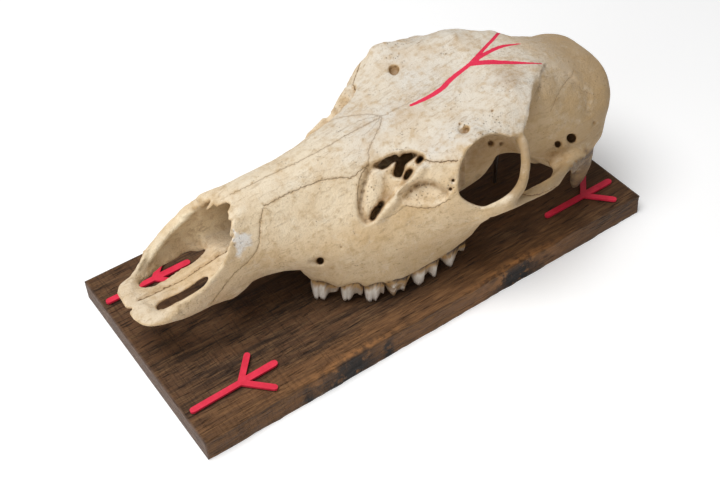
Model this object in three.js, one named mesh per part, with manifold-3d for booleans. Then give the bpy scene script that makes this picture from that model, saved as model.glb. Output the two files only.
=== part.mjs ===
// An elk skull standing on a plank, with its cheek teeth, a steel rod under its base and four flat signs.
// Millimetres, +Z up. The origin is the middle of the plank's underside. +X runs along the plank towards
// the back of the skull, and -Y is the skull's left side.
import * as THREE from 'three';
import { mergeVertices } from 'three/addons/utils/BufferGeometryUtils.js';
import Module from 'manifold-3d';

const wasm = await Module();
wasm.setup();

// Driving dimensions
const BOARD = { length: 400, width: 181, thickness: 18.3, wane: 3 };
const SKULL_YAW = THREE.MathUtils.degToRad(-4.5);
const GAP = 0.3;
const ROD = { x: 118, y: 2, radius: 1.5, depthInBoard: 11, top: 44 };
const SIGN = { thickness: 1.8, stroke: 4.6, middleStroke: 5.4, stem: 38, middle: 27.5, side: 24, spread: 46.8 };
const SIGN_FORKS = {
  sign_near_left: [-155.4, -61.2, 1.2],
  sign_near_right: [162.4, -63.3, 0],
  sign_far_left: [-156.6, 60, 0],
  sign_far_right: [162.4, 60.5, 0],
};

// Half sections of the face, from the middle of the top round to the middle of the palate.
// Each point is [distance from the midline, height above the plank].
// 3 is the edge of the top, 7 the facial crest, 9 and 10 the two sides of the tooth row.
const FACE = [
  { x: -199, half: [[0, 43.5], [3, 43.5], [6, 43.3], [9, 43], [11.5, 42.2], [13, 41.2], [13.6, 40.2],
    [13.4, 39.3], [12.6, 38.4], [11, 37.6], [8.5, 37.2], [6, 37], [3, 37], [0, 37]] },
  { x: -192, half: [[0, 44.5], [6, 45], [12, 45.2], [17, 45], [20.5, 44], [22.8, 42.2], [23.8, 40],
    [23.6, 38], [22.4, 36.2], [19.5, 35], [15, 34.8], [10, 35.4], [5, 36.2], [0, 36.5]] },
  { x: -180, half: [[0, 45], [7, 46], [14, 47.5], [21, 48.5], [25.5, 47.5], [28.2, 45], [29.4, 42],
    [29.4, 39], [28.5, 36], [26, 33.5], [20.5, 33], [13.5, 34.5], [6.5, 36.3], [0, 37]] },
  { x: -165, half: [[0, 57], [9, 57], [18, 57.5], [26.5, 57.5], [29.2, 55.5], [30.6, 50.5], [31, 45],
    [30.8, 40], [29.5, 36], [27, 33.5], [21.5, 33.5], [14.5, 35.5], [7, 37], [0, 37.5]] },
  { x: -150, half: [[0, 69], [9, 69], [18, 69], [27.8, 68.8], [30.6, 66.3], [31.7, 59], [31.8, 51],
    [31.4, 43.5], [30, 37.5], [27, 34.3], [21.5, 34.5], [15, 37], [7.5, 38.2], [0, 38.5]] },
  { x: -137, half: [[0, 80], [8.5, 80], [17, 79.5], [25.5, 78.5], [29.5, 75.5], [31, 67], [31.6, 57],
    [31.4, 47], [29.7, 39.5], [26.3, 35.3], [21.5, 35.3], [15, 37.5], [7.5, 39.3], [0, 40]] },
  { x: -128, half: [[0, 89], [7.5, 89], [15, 88.6], [22, 87.8], [26.3, 84.3], [29.3, 74], [31.3, 62],
    [31.4, 51], [29.3, 42], [25.6, 36.8], [21, 36.8], [15, 38.5], [7.5, 40.3], [0, 41]] },
  { x: -120, half: [[0, 95.5], [6, 95.5], [12.5, 94.9], [19, 93.3], [24, 87], [28, 76], [30.8, 64],
    [31.3, 53], [28.8, 43.5], [25, 38], [20.5, 38], [14.5, 40], [7.5, 41.5], [0, 42]] },
  { x: -108, half: [[0, 100.5], [6, 100], [11.5, 98.6], [16.5, 95.6], [22.5, 86.5], [27.8, 75], [31.2, 63],
    [31.9, 52.5], [29, 43.5], [24.8, 38.2], [20, 38.2], [14, 40.5], [7.5, 42.2], [0, 42.8]] },
  { x: -92, half: [[0, 103], [6.5, 102.2], [12.5, 99.9], [18.5, 95.6], [25, 86], [31, 74], [34.5, 62],
    [35, 51], [31.5, 42.5], [25.5, 37.3], [20.5, 37.3], [14, 41], [8, 43.5], [0, 44]] },
  { x: -79, half: [[0, 104.3], [6.5, 103.5], [12.5, 101.2], [18.7, 96.6], [26, 86.5], [33, 73.5], [38, 61],
    [39.5, 51], [37, 42], [30, 36.5], [24, 36.5], [17, 41], [9, 44.5], [0, 45]] },
  { x: -72, half: [[0, 105], [6.5, 104.2], [12.8, 101.7], [19.3, 96.8], [27.5, 86], [35, 73], [40, 61],
    [42, 50.5], [40, 38], [35.5, 21], [20, 21], [17, 36], [9, 44.5], [0, 45.5]] },
  { x: -53, half: [[0, 107.6], [7.5, 106.8], [14.5, 104], [21.5, 98.3], [31, 86], [40, 73.5], [46.5, 62],
    [50, 50.5], [51, 36], [50, 17.5], [31.5, 17.5], [28, 35], [14, 44.5], [0, 46]] },
  { x: -36, half: [[0, 110], [9.5, 109], [18, 106], [26, 99.5], [35, 88.5], [44.5, 76.5], [51.5, 65],
    [56, 52], [58, 36], [58, 17], [39, 17], [34.5, 35], [17, 45], [0, 46.5]] },
  { x: -17, half: [[0, 112.6], [11, 111.9], [21, 109.4], [30.5, 103], [39.5, 92.5], [48.5, 81], [55.5, 69],
    [60.5, 53.5], [63, 36], [62.3, 16.8], [42, 16.8], [37, 35], [18, 45.5], [0, 47]] },
  { x: 3, half: [[0, 115.6], [13, 115.2], [26, 113.6], [38.5, 108.6], [47.5, 99.5], [56, 86.5], [62.5, 72.5],
    [65.5, 56], [65, 38], [62.5, 17.5], [42, 17.5], [37, 35.5], [18.5, 46.5], [0, 48]] },
  { x: 20, half: [[0, 118.3], [16, 118.2], [32, 117], [49, 113], [60, 105.5], [68.5, 93.5], [72.5, 79],
    [72.5, 63], [67.5, 44], [61, 18.5], [41, 18.5], [36, 36], [18, 47.5], [0, 49]] },
  { x: 36, half: [[0, 120.8], [20, 120.8], [40, 121], [60, 119.8], [70, 113.8], [76, 101], [78.5, 84],
    [77.8, 66], [69, 46.5], [59, 20], [39.5, 20], [34.5, 37], [17, 48.5], [0, 50]] },
  { x: 50, half: [[0, 122.8], [22, 123], [44, 124], [66.5, 126], [73, 118], [78.5, 103], [81.8, 84],
    [81, 65], [69, 46], [56, 22.5], [37.5, 22.5], [32, 38], [16, 50], [0, 51.5]] },
  { x: 58, half: [[0, 123.8], [22, 123.6], [44, 123.6], [66, 122.5], [71, 115], [77, 102], [80, 84],
    [79, 67], [62, 52], [52, 31], [38, 30], [30, 42], [15, 52], [0, 53]] },
];

// Half sections of the cranium, behind and between the orbits.
// 3 is the orbit's upper rim and then the temporal ridge, 9 to 11 the lower edge of the side wall.
// A lean is how much the top climbs to the left for each millimetre outwards, as the real skull's does.
const CRANIUM = [
  { x: 15, half: [[0, 110], [15, 110], [25, 108], [30, 105], [30, 100], [28, 95], [27, 85], [26, 75],
    [26, 65], [24, 55], [20, 50], [15, 50], [8, 52], [0, 52]] },
  { x: 28, half: [[0, 119], [18, 119], [36, 118.5], [54, 114.8], [55.5, 112.3], [42, 109.5], [31, 102], [27, 88],
    [26, 74], [26, 58], [24, 44], [18, 44], [9, 50], [0, 51]] },
  { x: 45, half: [[0, 122], [22, 122.3], [44, 123], [65.5, 125.7], [67, 123.6], [50, 118.5], [33, 108], [28, 92],
    [27.5, 76], [27.5, 56], [26, 37], [19, 34], [10, 48], [0, 50]] },
  { x: 60, half: [[0, 124.3], [22, 125], [45, 126], [66.5, 122.8], [67.7, 120.6], [50, 115], [34, 107],
    [29, 92], [28.5, 76], [28.5, 56], [27.5, 41], [19, 31], [10, 46], [0, 49]] },
  { x: 72, lean: 0.02, half: [[0, 127], [22, 127.8], [45, 128], [66, 118.8], [67, 115], [51, 111.5], [37, 104], [32, 92],
    [31, 76], [30, 60], [27, 44.5], [19, 33], [10, 44], [0, 47]] },
  { x: 80, lean: 0.03, half: [[0, 128.8], [22, 129.8], [44, 129.8], [64.5, 118], [65, 114], [50, 110.5], [39.5, 103],
    [36, 92], [34.5, 78], [32, 63], [26.5, 47.5], [19, 37.5], [10, 41], [0, 44]] },
  { x: 90, lean: 0.03, half: [[0, 130], [19.5, 131], [39, 131.8], [58.5, 123.3], [59, 119.5], [48, 111], [42, 103],
    [40, 93], [38.5, 82], [35, 74.5], [28, 62.5], [19.5, 49], [10, 43], [0, 43]] },
  { x: 105, lean: 0.02, half: [[0, 130], [15, 130.6], [30, 131], [44.5, 128.6], [47, 123], [46.5, 114], [47, 103],
    [48, 93], [48.5, 83], [48, 73], [40, 67], [27, 61.5], [12, 50], [0, 47]] },
  { x: 121, lean: 0.02, half: [[0, 129], [11.5, 129.4], [22, 129.7], [31.5, 128.6], [37.5, 122], [43.5, 112], [48, 100],
    [50.3, 88], [51.2, 77], [50.5, 66], [43, 56.5], [28, 49], [11, 41], [0, 39]] },
  { x: 138, lean: 0.03, half: [[0, 126], [11.5, 125.6], [21.5, 123.4], [30.5, 118.6], [38.5, 110.5], [45, 100.5], [50, 89.5],
    [52, 79], [52.5, 70], [51.5, 60], [43, 50], [27, 40], [10, 34], [0, 33]] },
  { x: 155, lean: 0.05, half: [[0, 121], [12.5, 119.6], [23.5, 115.6], [33.5, 109.6], [41.5, 102], [47.3, 92.5], [50.8, 83.5],
    [52, 75], [52.5, 66], [52.5, 57], [44, 48], [27, 38], [10, 32], [0, 31.5]] },
  { x: 168, lean: 0.06, half: [[0, 116.3], [13, 114.6], [24, 110.6], [34, 104.6], [42, 97], [47, 88.5], [49.8, 80.5],
    [50.5, 73], [50.8, 64.5], [51, 56], [44, 47], [27, 38], [10, 33], [0, 33]] },
  { x: 177, lean: 0.06, half: [[0, 113.3], [13, 112], [24, 108.5], [34, 103.3], [41.8, 96.4], [46.2, 88.5], [48, 80],
    [48, 71.5], [48, 63], [48, 55], [41, 47.5], [26, 39.5], [10, 35], [0, 35]] },
  { x: 186, lean: 0.06, half: [[0, 109.5], [12, 108.6], [22.5, 106], [32, 101.3], [38.3, 95.4], [41.5, 88.5], [42, 80],
    [41, 71], [40, 62], [38, 55], [32, 49], [22, 43], [10, 39], [0, 39]] },
  { x: 190.5, lean: 0.06, half: [[0, 105.5], [11, 106], [21, 104.3], [28.7, 99.8], [33, 93.5], [34.8, 86.5], [34.5, 79],
    [33, 71], [31, 63], [28, 56], [22, 51], [16, 47], [8, 45], [0, 45]] },
];

const LEAN_FROM = 85;
const LEAN_FULL = 110;

// The nose's inside. The front stretch is an open channel; the rear one has a roof under the nasal bones.
const ABOVE = 140;
const NOSE_CHANNEL = [
  { x: -188, half: [[0, ABOVE], [9, ABOVE], [9, 50], [8, 45], [6, 42.5], [4, 41.5], [2, 41], [0, 41]] },
  { x: -179, half: [[0, ABOVE], [22, ABOVE], [22.5, 48], [21.5, 43], [18, 38], [11, 38], [7, 41], [0, 41]] },
  { x: -165, half: [[0, ABOVE], [26, ABOVE], [26.8, 53], [26, 44], [23, 37], [12, 37], [8, 40], [0, 40.5]] },
  { x: -150, half: [[0, ABOVE], [27, ABOVE], [28.3, 63], [28, 48], [24.5, 37.5], [13, 38], [9, 41], [0, 41.5]] },
  { x: -137, half: [[0, ABOVE], [25, ABOVE], [27.6, 73], [28.5, 54], [24.5, 38.7], [14, 39.5], [9, 42], [0, 43]] },
  { x: -128, half: [[0, ABOVE], [22, ABOVE], [25.5, 80], [28.3, 59], [24.5, 40.5], [14, 41.5], [8, 43.5], [0, 44]] },
  { x: -120, half: [[0, ABOVE], [18.5, ABOVE], [22, 85], [27.8, 61], [24, 42], [14, 43], [8, 44.5], [0, 45]] },
  { x: -113, half: [[0, ABOVE], [15, ABOVE], [18, 88], [27, 63], [24, 43], [14, 44.5], [8, 45.5], [0, 46]] },
];
const NOSE_CAVITY = [
  { x: -117, half: [[0, 93], [11, 91.5], [17, 85], [27, 62], [24, 45], [0, 46]] },
  { x: -92, half: [[0, 99], [11, 96.5], [20, 85], [30, 62], [24, 46], [0, 47]] },
  { x: -60, half: [[0, 102.5], [14, 99.5], [27, 84], [39, 62], [33, 46], [0, 50]] },
  { x: -20, half: [[0, 108], [21, 104], [38, 86], [49, 65], [40, 48], [0, 53]] },
  { x: 12, half: [[0, 110], [26, 108], [36, 92], [34, 70], [26, 54], [0, 56]] },
  { x: 34, half: [[0, 84], [8, 84], [16, 76], [18, 64], [16, 54], [0, 54]] },
  { x: 70, half: [[0, 66], [6, 66], [12, 60], [13, 50], [12, 36], [0, 36]] },
];

// Bars that bridge open space: [along, out, height, half height, half thickness] at each point.
const POSTORBITAL_BAR = [
  [72, 58, 116.5, 5, 5], [77.5, 68, 110.5, 4.6, 4.5], [79, 76.5, 103.5, 4.2, 4.2], [77.5, 82, 95, 4, 4],
  [74, 83.6, 85.5, 4, 4], [68.5, 83.4, 77.5, 4, 4], [60.5, 82.4, 72, 4, 4], [50, 80.3, 69, 4.2, 4.2],
  [38, 74.5, 66.5, 5, 5],
];
const ZYGOMATIC_ARCH = [
  [52, 80, 68.5, 4, 4], [66, 82, 69, 4.6, 3.8], [80, 81.2, 68.5, 5, 3.6], [95, 78.6, 65.7, 5.6, 3.5],
  [109, 75, 62.8, 6.3, 3.5], [122, 69.5, 60, 6.6, 4], [134, 63, 57.6, 6.6, 6], [145, 55, 56, 6.5, 8],
  [152, 50, 55.5, 6, 8],
];
const SQUAMOSAL_ROOT = [[116, 71, 60, 4.5, 3], [124, 63, 60, 8, 3.5], [131, 55, 61, 12, 4.5], [138, 46, 62, 14, 5]];
const PAROCCIPITAL = [
  [164, 43, 56, 14, 7], [166, 44, 42, 12.5, 6], [168, 43, 29, 10.5, 5], [168.5, 41.5, 18, 8.5, 4],
  [168, 40.5, 9, 6, 3.2], [167.5, 40, 4, 4, 2.2],
];

// Rounded masses and hollows: centre, radii and a turn in degrees about the across axis.
const CONDYLE = { at: [184, 16, 44], radii: [12, 10.5, 15], tilt: 20 };
const BULLA = { at: [140, 28, 36], radii: [14, 8.5, 12], tilt: 0 };
const TUBEROSITY_HOLLOW = { at: [71, 52, 58], radii: [20, 22, 36], tilt: 0 };
const ORBIT = { at: [50, 66, 96], radii: [24.5, 38, 29], tilt: -8 };
const LACRIMAL_PIT = { at: [9, 62, 87], radii: [14, 12, 9], tilt: -12 };
const FACIAL_GAP = { at: [0, 39, 105.5], radii: [22, 9, 6], tilt: -4 };
const FACIAL_FOSSA = { at: [-27, 45, 92], radii: [8, 6, 20], tilt: 24 };

// Round holes: a point on the bone, the way in, the radius and the depth.
const HOLES = [
  { at: [-68, 44, 47.5], into: [0.75, -0.65, 0], radius: 2.8, depth: 8 },
  { at: [49, 45, 123.5], into: [-0.1, -0.3, -1], radius: 3.6, depth: 8 },
  { at: [141, 53, 75.5], into: [0, -1, -0.2], radius: 3.6, depth: 10 },
  { at: [131.5, 52.5, 73.5], into: [0, -1, -0.2], radius: 2.6, depth: 7 },
];
const FORAMEN_MAGNUM = { at: [193, 0, 60], into: [-1, 0, -0.1], radius: 12.5, depth: 50 };
const INCISIVE_FORAMEN = { front: -182, back: -128, inner: 8, outer: 23.5, middle: 15 };
const TIP_NOTCH = { depth: 9, halfWidth: 2, y: -3 };

// The cheek teeth: name, the two ends of the outer side of the crown, width across and number of lobes.
const ROW = [[-72, 31], [-55, 45], [-40, 55], [-24, 61], [-2, 63], [24, 61], [52, 55.5]];
const TEETH = [
  { name: 'p2', across: 14, lobes: 2, tip: 3 },
  { name: 'p3', across: 17, lobes: 2, tip: 1 },
  { name: 'p4', across: 19, lobes: 1, tip: GAP },
  { name: 'm1', across: 20, lobes: 2, tip: GAP },
  { name: 'm2', across: 21, lobes: 2, tip: GAP },
  { name: 'm3', across: 20, lobes: 2, tip: GAP },
];
const CROWN = { neck: 18, belly: 11, cusp: 6, root: 27 };

const vector = (x, y, z) => new THREE.Vector3(x, y, z);

// Geometry and solids

function toSolid(geometry) {
  const bare = geometry.index ? geometry.clone() : geometry;
  bare.deleteAttribute('normal');
  bare.deleteAttribute('uv');
  const merged = mergeVertices(bare, 1e-4);
  const mesh = new wasm.Mesh({
    numProp: 3,
    vertProperties: new Float32Array(merged.attributes.position.array),
    triVerts: new Uint32Array(merged.index.array),
  });
  return new wasm.Manifold(mesh);
}

function toGeometry(solid) {
  const mesh = solid.getMesh();
  const geometry = new THREE.BufferGeometry();
  geometry.setAttribute('position', new THREE.BufferAttribute(new Float32Array(mesh.vertProperties), 3));
  geometry.setIndex(new THREE.BufferAttribute(new Uint32Array(mesh.triVerts), 1));
  return geometry;
}

function enclosedVolume(points, triangles) {
  let volume = 0;
  const cross = vector(0, 0, 0);
  for (const [a, b, c] of triangles) {
    volume += points[a].dot(cross.crossVectors(points[b], points[c])) / 6;
  }
  return volume;
}

// The triangles of a flat cap, turned the same way round as its outline.
function capTriangles(outline) {
  const triangles = THREE.ShapeUtils.triangulateShape(outline, []);
  const [a, b, c] = triangles[0].map((index) => outline[index]);
  const turn = (b.x - a.x) * (c.y - a.y) - (b.y - a.y) * (c.x - a.x);
  const sameTurn = turn > 0 === THREE.ShapeUtils.area(outline) > 0;
  return sameTurn ? triangles : triangles.map(([first, second, third]) => [first, third, second]);
}

// A closed skin over rings that have the same number of points, with a flat cap on each end ring.
function loft(rings, capPlane) {
  const count = rings[0].length;
  const points = rings.flat();
  const triangles = [];
  for (let ring = 0; ring + 1 < rings.length; ring += 1) {
    for (let side = 0; side < count; side += 1) {
      const a = ring * count + side;
      const b = ring * count + (side + 1) % count;
      triangles.push([a, b, a + count], [b, b + count, a + count]);
    }
  }
  const lastStart = (rings.length - 1) * count;
  for (const [a, b, c] of capTriangles(rings[0].map(capPlane))) {
    triangles.push([a, c, b]);
  }
  for (const [a, b, c] of capTriangles(rings.at(-1).map(capPlane))) {
    triangles.push([lastStart + a, lastStart + b, lastStart + c]);
  }
  const inwards = enclosedVolume(points, triangles) < 0;
  const geometry = new THREE.BufferGeometry();
  geometry.setFromPoints(points);
  geometry.setIndex(triangles.flatMap(([a, b, c]) => (inwards ? [a, c, b] : [a, b, c])));
  return toSolid(geometry);
}

// A full ring from a half section: the half itself, then its mirror image back up to the top.
function fullRing({ x, half, lean = 0 }) {
  const place = (y, height) => {
    const nearTop = THREE.MathUtils.clamp((height - LEAN_FROM) / (LEAN_FULL - LEAN_FROM), 0, 1);
    return vector(x, y, height - lean * nearTop * y);
  };
  const right = half.map(([out, height]) => place(out, height));
  const left = half.slice(1, -1).reverse().map(([out, height]) => place(-out, height));
  return right.concat(left);
}

function sectionLoft(stations) {
  return loft(stations.map(fullRing), (p) => new THREE.Vector2(p.y, p.z));
}

// A bar along a line of points, with an oval section whose half height lies in the plane of the bend.
function bar(points, sides, upright) {
  const places = points.map(([x, y, z]) => vector(x, y, z));
  const rings = places.map((place, index) => {
    const before = places[Math.max(index - 1, 0)];
    const after = places[Math.min(index + 1, places.length - 1)];
    const along = after.clone().sub(before).normalize();
    const across = upright.clone().addScaledVector(along, -upright.dot(along)).normalize();
    const third = along.clone().cross(across);
    const [, , , acrossRadius, thirdRadius] = points[index];
    return Array.from({ length: sides }, (_, side) => {
      const angle = 2 * Math.PI * side / sides;
      return place.clone()
        .addScaledVector(third, Math.cos(angle) * acrossRadius)
        .addScaledVector(across, Math.sin(angle) * thirdRadius);
    });
  });
  const flatten = (ring) => {
    const [origin] = ring;
    const first = ring[1].clone().sub(origin).normalize();
    const normal = first.clone().cross(ring[Math.floor(sides / 2)].clone().sub(origin)).normalize();
    const second = normal.clone().cross(first);
    return (p) => new THREE.Vector2(p.clone().sub(origin).dot(first), p.clone().sub(origin).dot(second));
  };
  return loftWithCaps(rings, flatten);
}

function loftWithCaps(rings, planeOf) {
  const planes = new Map();
  rings.forEach((ring) => ring.forEach((point) => planes.set(point, planeOf(ring))));
  return loft(rings, (point) => planes.get(point)(point));
}

function ball({ at, radii, tilt }, side) {
  const geometry = new THREE.SphereGeometry(1, 12, 7);
  geometry.rotateX(Math.PI / 2);
  geometry.scale(...radii);
  geometry.rotateY(THREE.MathUtils.degToRad(tilt));
  geometry.translate(at[0], at[1] * side, at[2]);
  return toSolid(geometry);
}

function hole({ at, into, radius, depth }, side) {
  const geometry = new THREE.CylinderGeometry(radius, radius * 0.8, depth + 4, 8);
  const direction = vector(into[0], into[1] * side, into[2]).normalize();
  geometry.translate(0, depth / 2 - 2, 0);
  geometry.applyQuaternion(new THREE.Quaternion().setFromUnitVectors(vector(0, 1, 0), direction));
  geometry.translate(at[0], at[1] * side, at[2]);
  return toSolid(geometry);
}

function prism(outline, from, to) {
  const geometry = new THREE.ExtrudeGeometry(new THREE.Shape(outline), { depth: to - from, bevelEnabled: false, steps: 1 });
  geometry.translate(0, 0, from);
  return toSolid(geometry);
}

const bothSides = (make) => [make(1), make(-1)];
const mirrored = (points, side) => points.map(([x, y, ...rest]) => [x, y * side, ...rest]);

// The skull

function incisiveForamen(side) {
  const { front, back, inner, outer, middle } = INCISIVE_FORAMEN;
  const rim = [vector(front, middle * 0.65), vector(-172, outer * 0.82), vector(-155, outer), vector(-138, outer * 0.93),
    vector(back, middle * 1.1), vector(-142, inner * 1.35), vector(-162, inner), vector(-177, inner * 1.05)];
  const curve = new THREE.CatmullRomCurve3(rim.map((p) => vector(p.x, p.y * side, 0)), true);
  const outline = curve.getPoints(20).slice(0, -1).map((p) => new THREE.Vector2(p.x, p.y));
  return prism(outline, 28, 47);
}

function skull() {
  const orbits = bothSides((side) => ball(ORBIT, side));
  const hollows = bothSides((side) => ball(TUBEROSITY_HOLLOW, side));
  let bone = sectionLoft(FACE);
  for (const cut of [...orbits, ...hollows]) {
    bone = bone.subtract(cut);
  }
  bone = bone.add(sectionLoft(CRANIUM));
  for (const side of [1, -1]) {
    bone = bone.add(bar(mirrored(POSTORBITAL_BAR, side), 8, vector(0, 1, 0)));
    bone = bone.add(bar(mirrored(ZYGOMATIC_ARCH, side), 10, vector(0, 1, 0)));
    bone = bone.add(bar(mirrored(SQUAMOSAL_ROOT, side), 8, vector(0, 0, 1)));
    bone = bone.add(bar(mirrored(PAROCCIPITAL, side), 8, vector(0, 1, 0)));
    bone = bone.add(ball(CONDYLE, side));
    bone = bone.add(ball(BULLA, side));
  }
  const cuts = [sectionLoft(NOSE_CHANNEL), sectionLoft(NOSE_CAVITY), hole(FORAMEN_MAGNUM, 1)];
  for (const side of [1, -1]) {
    cuts.push(incisiveForamen(side), ball(LACRIMAL_PIT, side), ball(FACIAL_GAP, side), ball(FACIAL_FOSSA, side));
    cuts.push(...HOLES.map((each) => hole(each, side)));
  }
  const { depth, halfWidth, y } = TIP_NOTCH;
  const tip = FACE[0].x;
  const notch = [[tip - 2, -halfWidth * 1.5], [tip + depth, -halfWidth * 0.3], [tip + depth, halfWidth * 0.3],
    [tip - 2, halfWidth * 1.5]];
  cuts.push(prism(notch.map(([x, out]) => new THREE.Vector2(x, y + out)), 28, 55));
  for (const cut of cuts) {
    bone = bone.subtract(cut);
  }
  return bone;
}

// The way across the tooth row at each joint between two teeth, pointing to the palate.
const ACROSS_ROW = ROW.map((_, index) => {
  const before = ROW[Math.max(index - 1, 0)];
  const after = ROW[Math.min(index + 1, ROW.length - 1)];
  return new THREE.Vector2(after[1] - before[1], before[0] - after[0]).normalize();
});

// One cheek tooth: rings from the root down to the worn edge, whose height waves with the lobes.
function tooth(spec, index, side, grow) {
  const corners = [index, index + 1].map((joint) => new THREE.Vector2(...ROW[joint]));
  const length = corners[0].distanceTo(corners[1]);
  const place = (u, v, height) => {
    const ends = corners.map((corner, end) => corner.clone()
      .addScaledVector(ACROSS_ROW[index + end], spec.across * (0.5 - 0.5 * v)));
    const point = ends[0].lerp(ends[1], 0.5 + 0.5 * u);
    return vector(point.x, point.y * side, height);
  };
  const edgeHeight = (angle) => spec.tip + CROWN.cusp * (0.5 + 0.5 * Math.cos(2 * spec.lobes * angle));
  const ring = (scale, heightOf) => Array.from({ length: 12 }, (_, step) => {
    const angle = 2 * Math.PI * step / 12;
    const squared = (value) => Math.sign(value) * Math.abs(value) ** 0.7;
    const u = squared(Math.cos(angle)) * (scale - 2 * (GAP - grow) / length);
    const v = squared(Math.sin(angle)) * (scale + 2 * grow / spec.across);
    return place(u, v, heightOf(angle));
  });
  const rings = [
    ring(0.72, () => CROWN.root + grow),
    ring(0.9, () => CROWN.neck),
    ring(1, () => CROWN.belly),
    ring(0.92, edgeHeight),
    ring(0.45, () => spec.tip + CROWN.cusp),
  ];
  return loft(rings, (p) => new THREE.Vector2(p.x, p.y));
}

// The board and what is on it

function board() {
  const { length, width, thickness, wane } = BOARD;
  const x = length / 2;
  const y = width / 2;
  const top = [[-x, -y + wane * 0.6], [-x * 0.7, -y + wane * 0.2], [-x * 0.45, -y + wane], [-x * 0.2, -y + wane * 0.3],
    [x * 0.1, -y + wane * 0.9], [x * 0.35, -y + wane * 1.6], [x * 0.6, -y + wane * 0.5], [x * 0.85, -y + wane * 1.2],
    [x - 2, -y + wane * 0.8], [x, -y + wane * 1.6], [x, y], [-x, y]];
  const bottom = top.map(([px, py]) => [px, py < 0 ? -y : py]);
  bottom[9] = [x, -y + wane * 0.5];
  const middle = top.map(([px, py], index) => [px, py < 0 ? (py + bottom[index][1]) / 2 : py]);
  const ringAt = (outline, z) => outline.map(([px, py]) => vector(px, py, z));
  const slab = loft([ringAt(bottom, 0), ringAt(middle, thickness * 0.55), ringAt(top, thickness)],
    (p) => new THREE.Vector2(p.x, p.y));
  const socket = new THREE.CylinderGeometry(ROD.radius + GAP, ROD.radius + GAP, ROD.depthInBoard + GAP + 2, 16);
  socket.rotateX(Math.PI / 2);
  const foot = rodFoot();
  socket.translate(foot.x, foot.y, thickness + 2 - (ROD.depthInBoard + GAP + 2) / 2);
  return slab.subtract(toSolid(socket));
}

function rodFoot() {
  return vector(ROD.x, ROD.y, 0).applyAxisAngle(vector(0, 0, 1), SKULL_YAW);
}

function rod(grow) {
  const length = ROD.depthInBoard + ROD.top + grow;
  const geometry = new THREE.CylinderGeometry(ROD.radius + grow, ROD.radius + grow, length, 16);
  geometry.rotateX(Math.PI / 2);
  geometry.translate(ROD.x, ROD.y, length / 2 - ROD.depthInBoard);
  return toSolid(geometry);
}

// A sign's four arms, each a stroke with a round end that starts at the fork.
function signArms() {
  const { stroke, middleStroke, stem, middle, side, spread } = SIGN;
  return [
    { degrees: 180, length: stem, width: stroke },
    { degrees: 360 - spread, length: side, width: stroke },
    { degrees: 360, length: middle, width: middleStroke },
    { degrees: 360 + spread, length: side, width: stroke },
  ];
}

function signOutline() {
  const arms = signArms().map(({ degrees, length, width }) => {
    const angle = THREE.MathUtils.degToRad(degrees);
    const along = new THREE.Vector2(Math.cos(angle), Math.sin(angle));
    return { angle, length, radius: width / 2, along, left: new THREE.Vector2(-along.y, along.x) };
  });
  return arms.flatMap((arm, index) => {
    const next = arms[(index + 1) % arms.length];
    const tip = [-90, -45, 0, 45, 90].map((degrees) => {
      const turn = arm.angle + THREE.MathUtils.degToRad(degrees);
      return arm.along.clone().multiplyScalar(arm.length)
        .add(new THREE.Vector2(Math.cos(turn), Math.sin(turn)).multiplyScalar(arm.radius));
    });
    const ownSide = arm.left.clone().multiplyScalar(arm.radius);
    const between = next.left.clone().multiplyScalar(-next.radius).sub(ownSide);
    const distance = between.cross(next.along) / arm.along.cross(next.along);
    return [...tip, ownSide.addScaledVector(arm.along, distance)];
  });
}

// Materials and assembly

function material(color, roughness, metalness = 0) {
  return new THREE.MeshStandardMaterial({ color, roughness, metalness });
}

function mesh(name, solid, look) {
  const piece = new THREE.Mesh(toGeometry(solid), look);
  piece.name = name;
  return piece;
}

const part = new THREE.Group();
part.add(mesh('board', board(), material(0x4a3426, 0.8)));

const specimen = new THREE.Group();
specimen.position.z = BOARD.thickness;
specimen.rotation.z = SKULL_YAW;
let bone = skull().subtract(rod(GAP));
for (const [sideName, side] of [['left', -1], ['right', 1]]) {
  TEETH.forEach((spec, index) => {
    bone = bone.subtract(tooth(spec, index, side, GAP));
    specimen.add(mesh(`tooth_${sideName}_${spec.name}`, tooth(spec, index, side, 0), material(0xd9d6cf, 0.4)));
  });
}
specimen.add(mesh('skull', bone, material(0xe6d6b4, 0.7)));
specimen.add(mesh('rod', rod(0), material(0x8c8c8c, 0.35, 1)));
part.add(specimen);

for (const [name, [x, y, degrees]] of Object.entries(SIGN_FORKS)) {
  const piece = mesh(name, prism(signOutline(), 0, SIGN.thickness), material(0xc81f3c, 0.45));
  piece.position.set(x, y, BOARD.thickness + GAP);
  piece.rotation.z = THREE.MathUtils.degToRad(degrees);
  part.add(piece);
}

export default part;
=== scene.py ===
import math

import bpy
import numpy as np
from mathutils import Matrix, Vector
from mathutils.bvhtree import BVHTree


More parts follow.
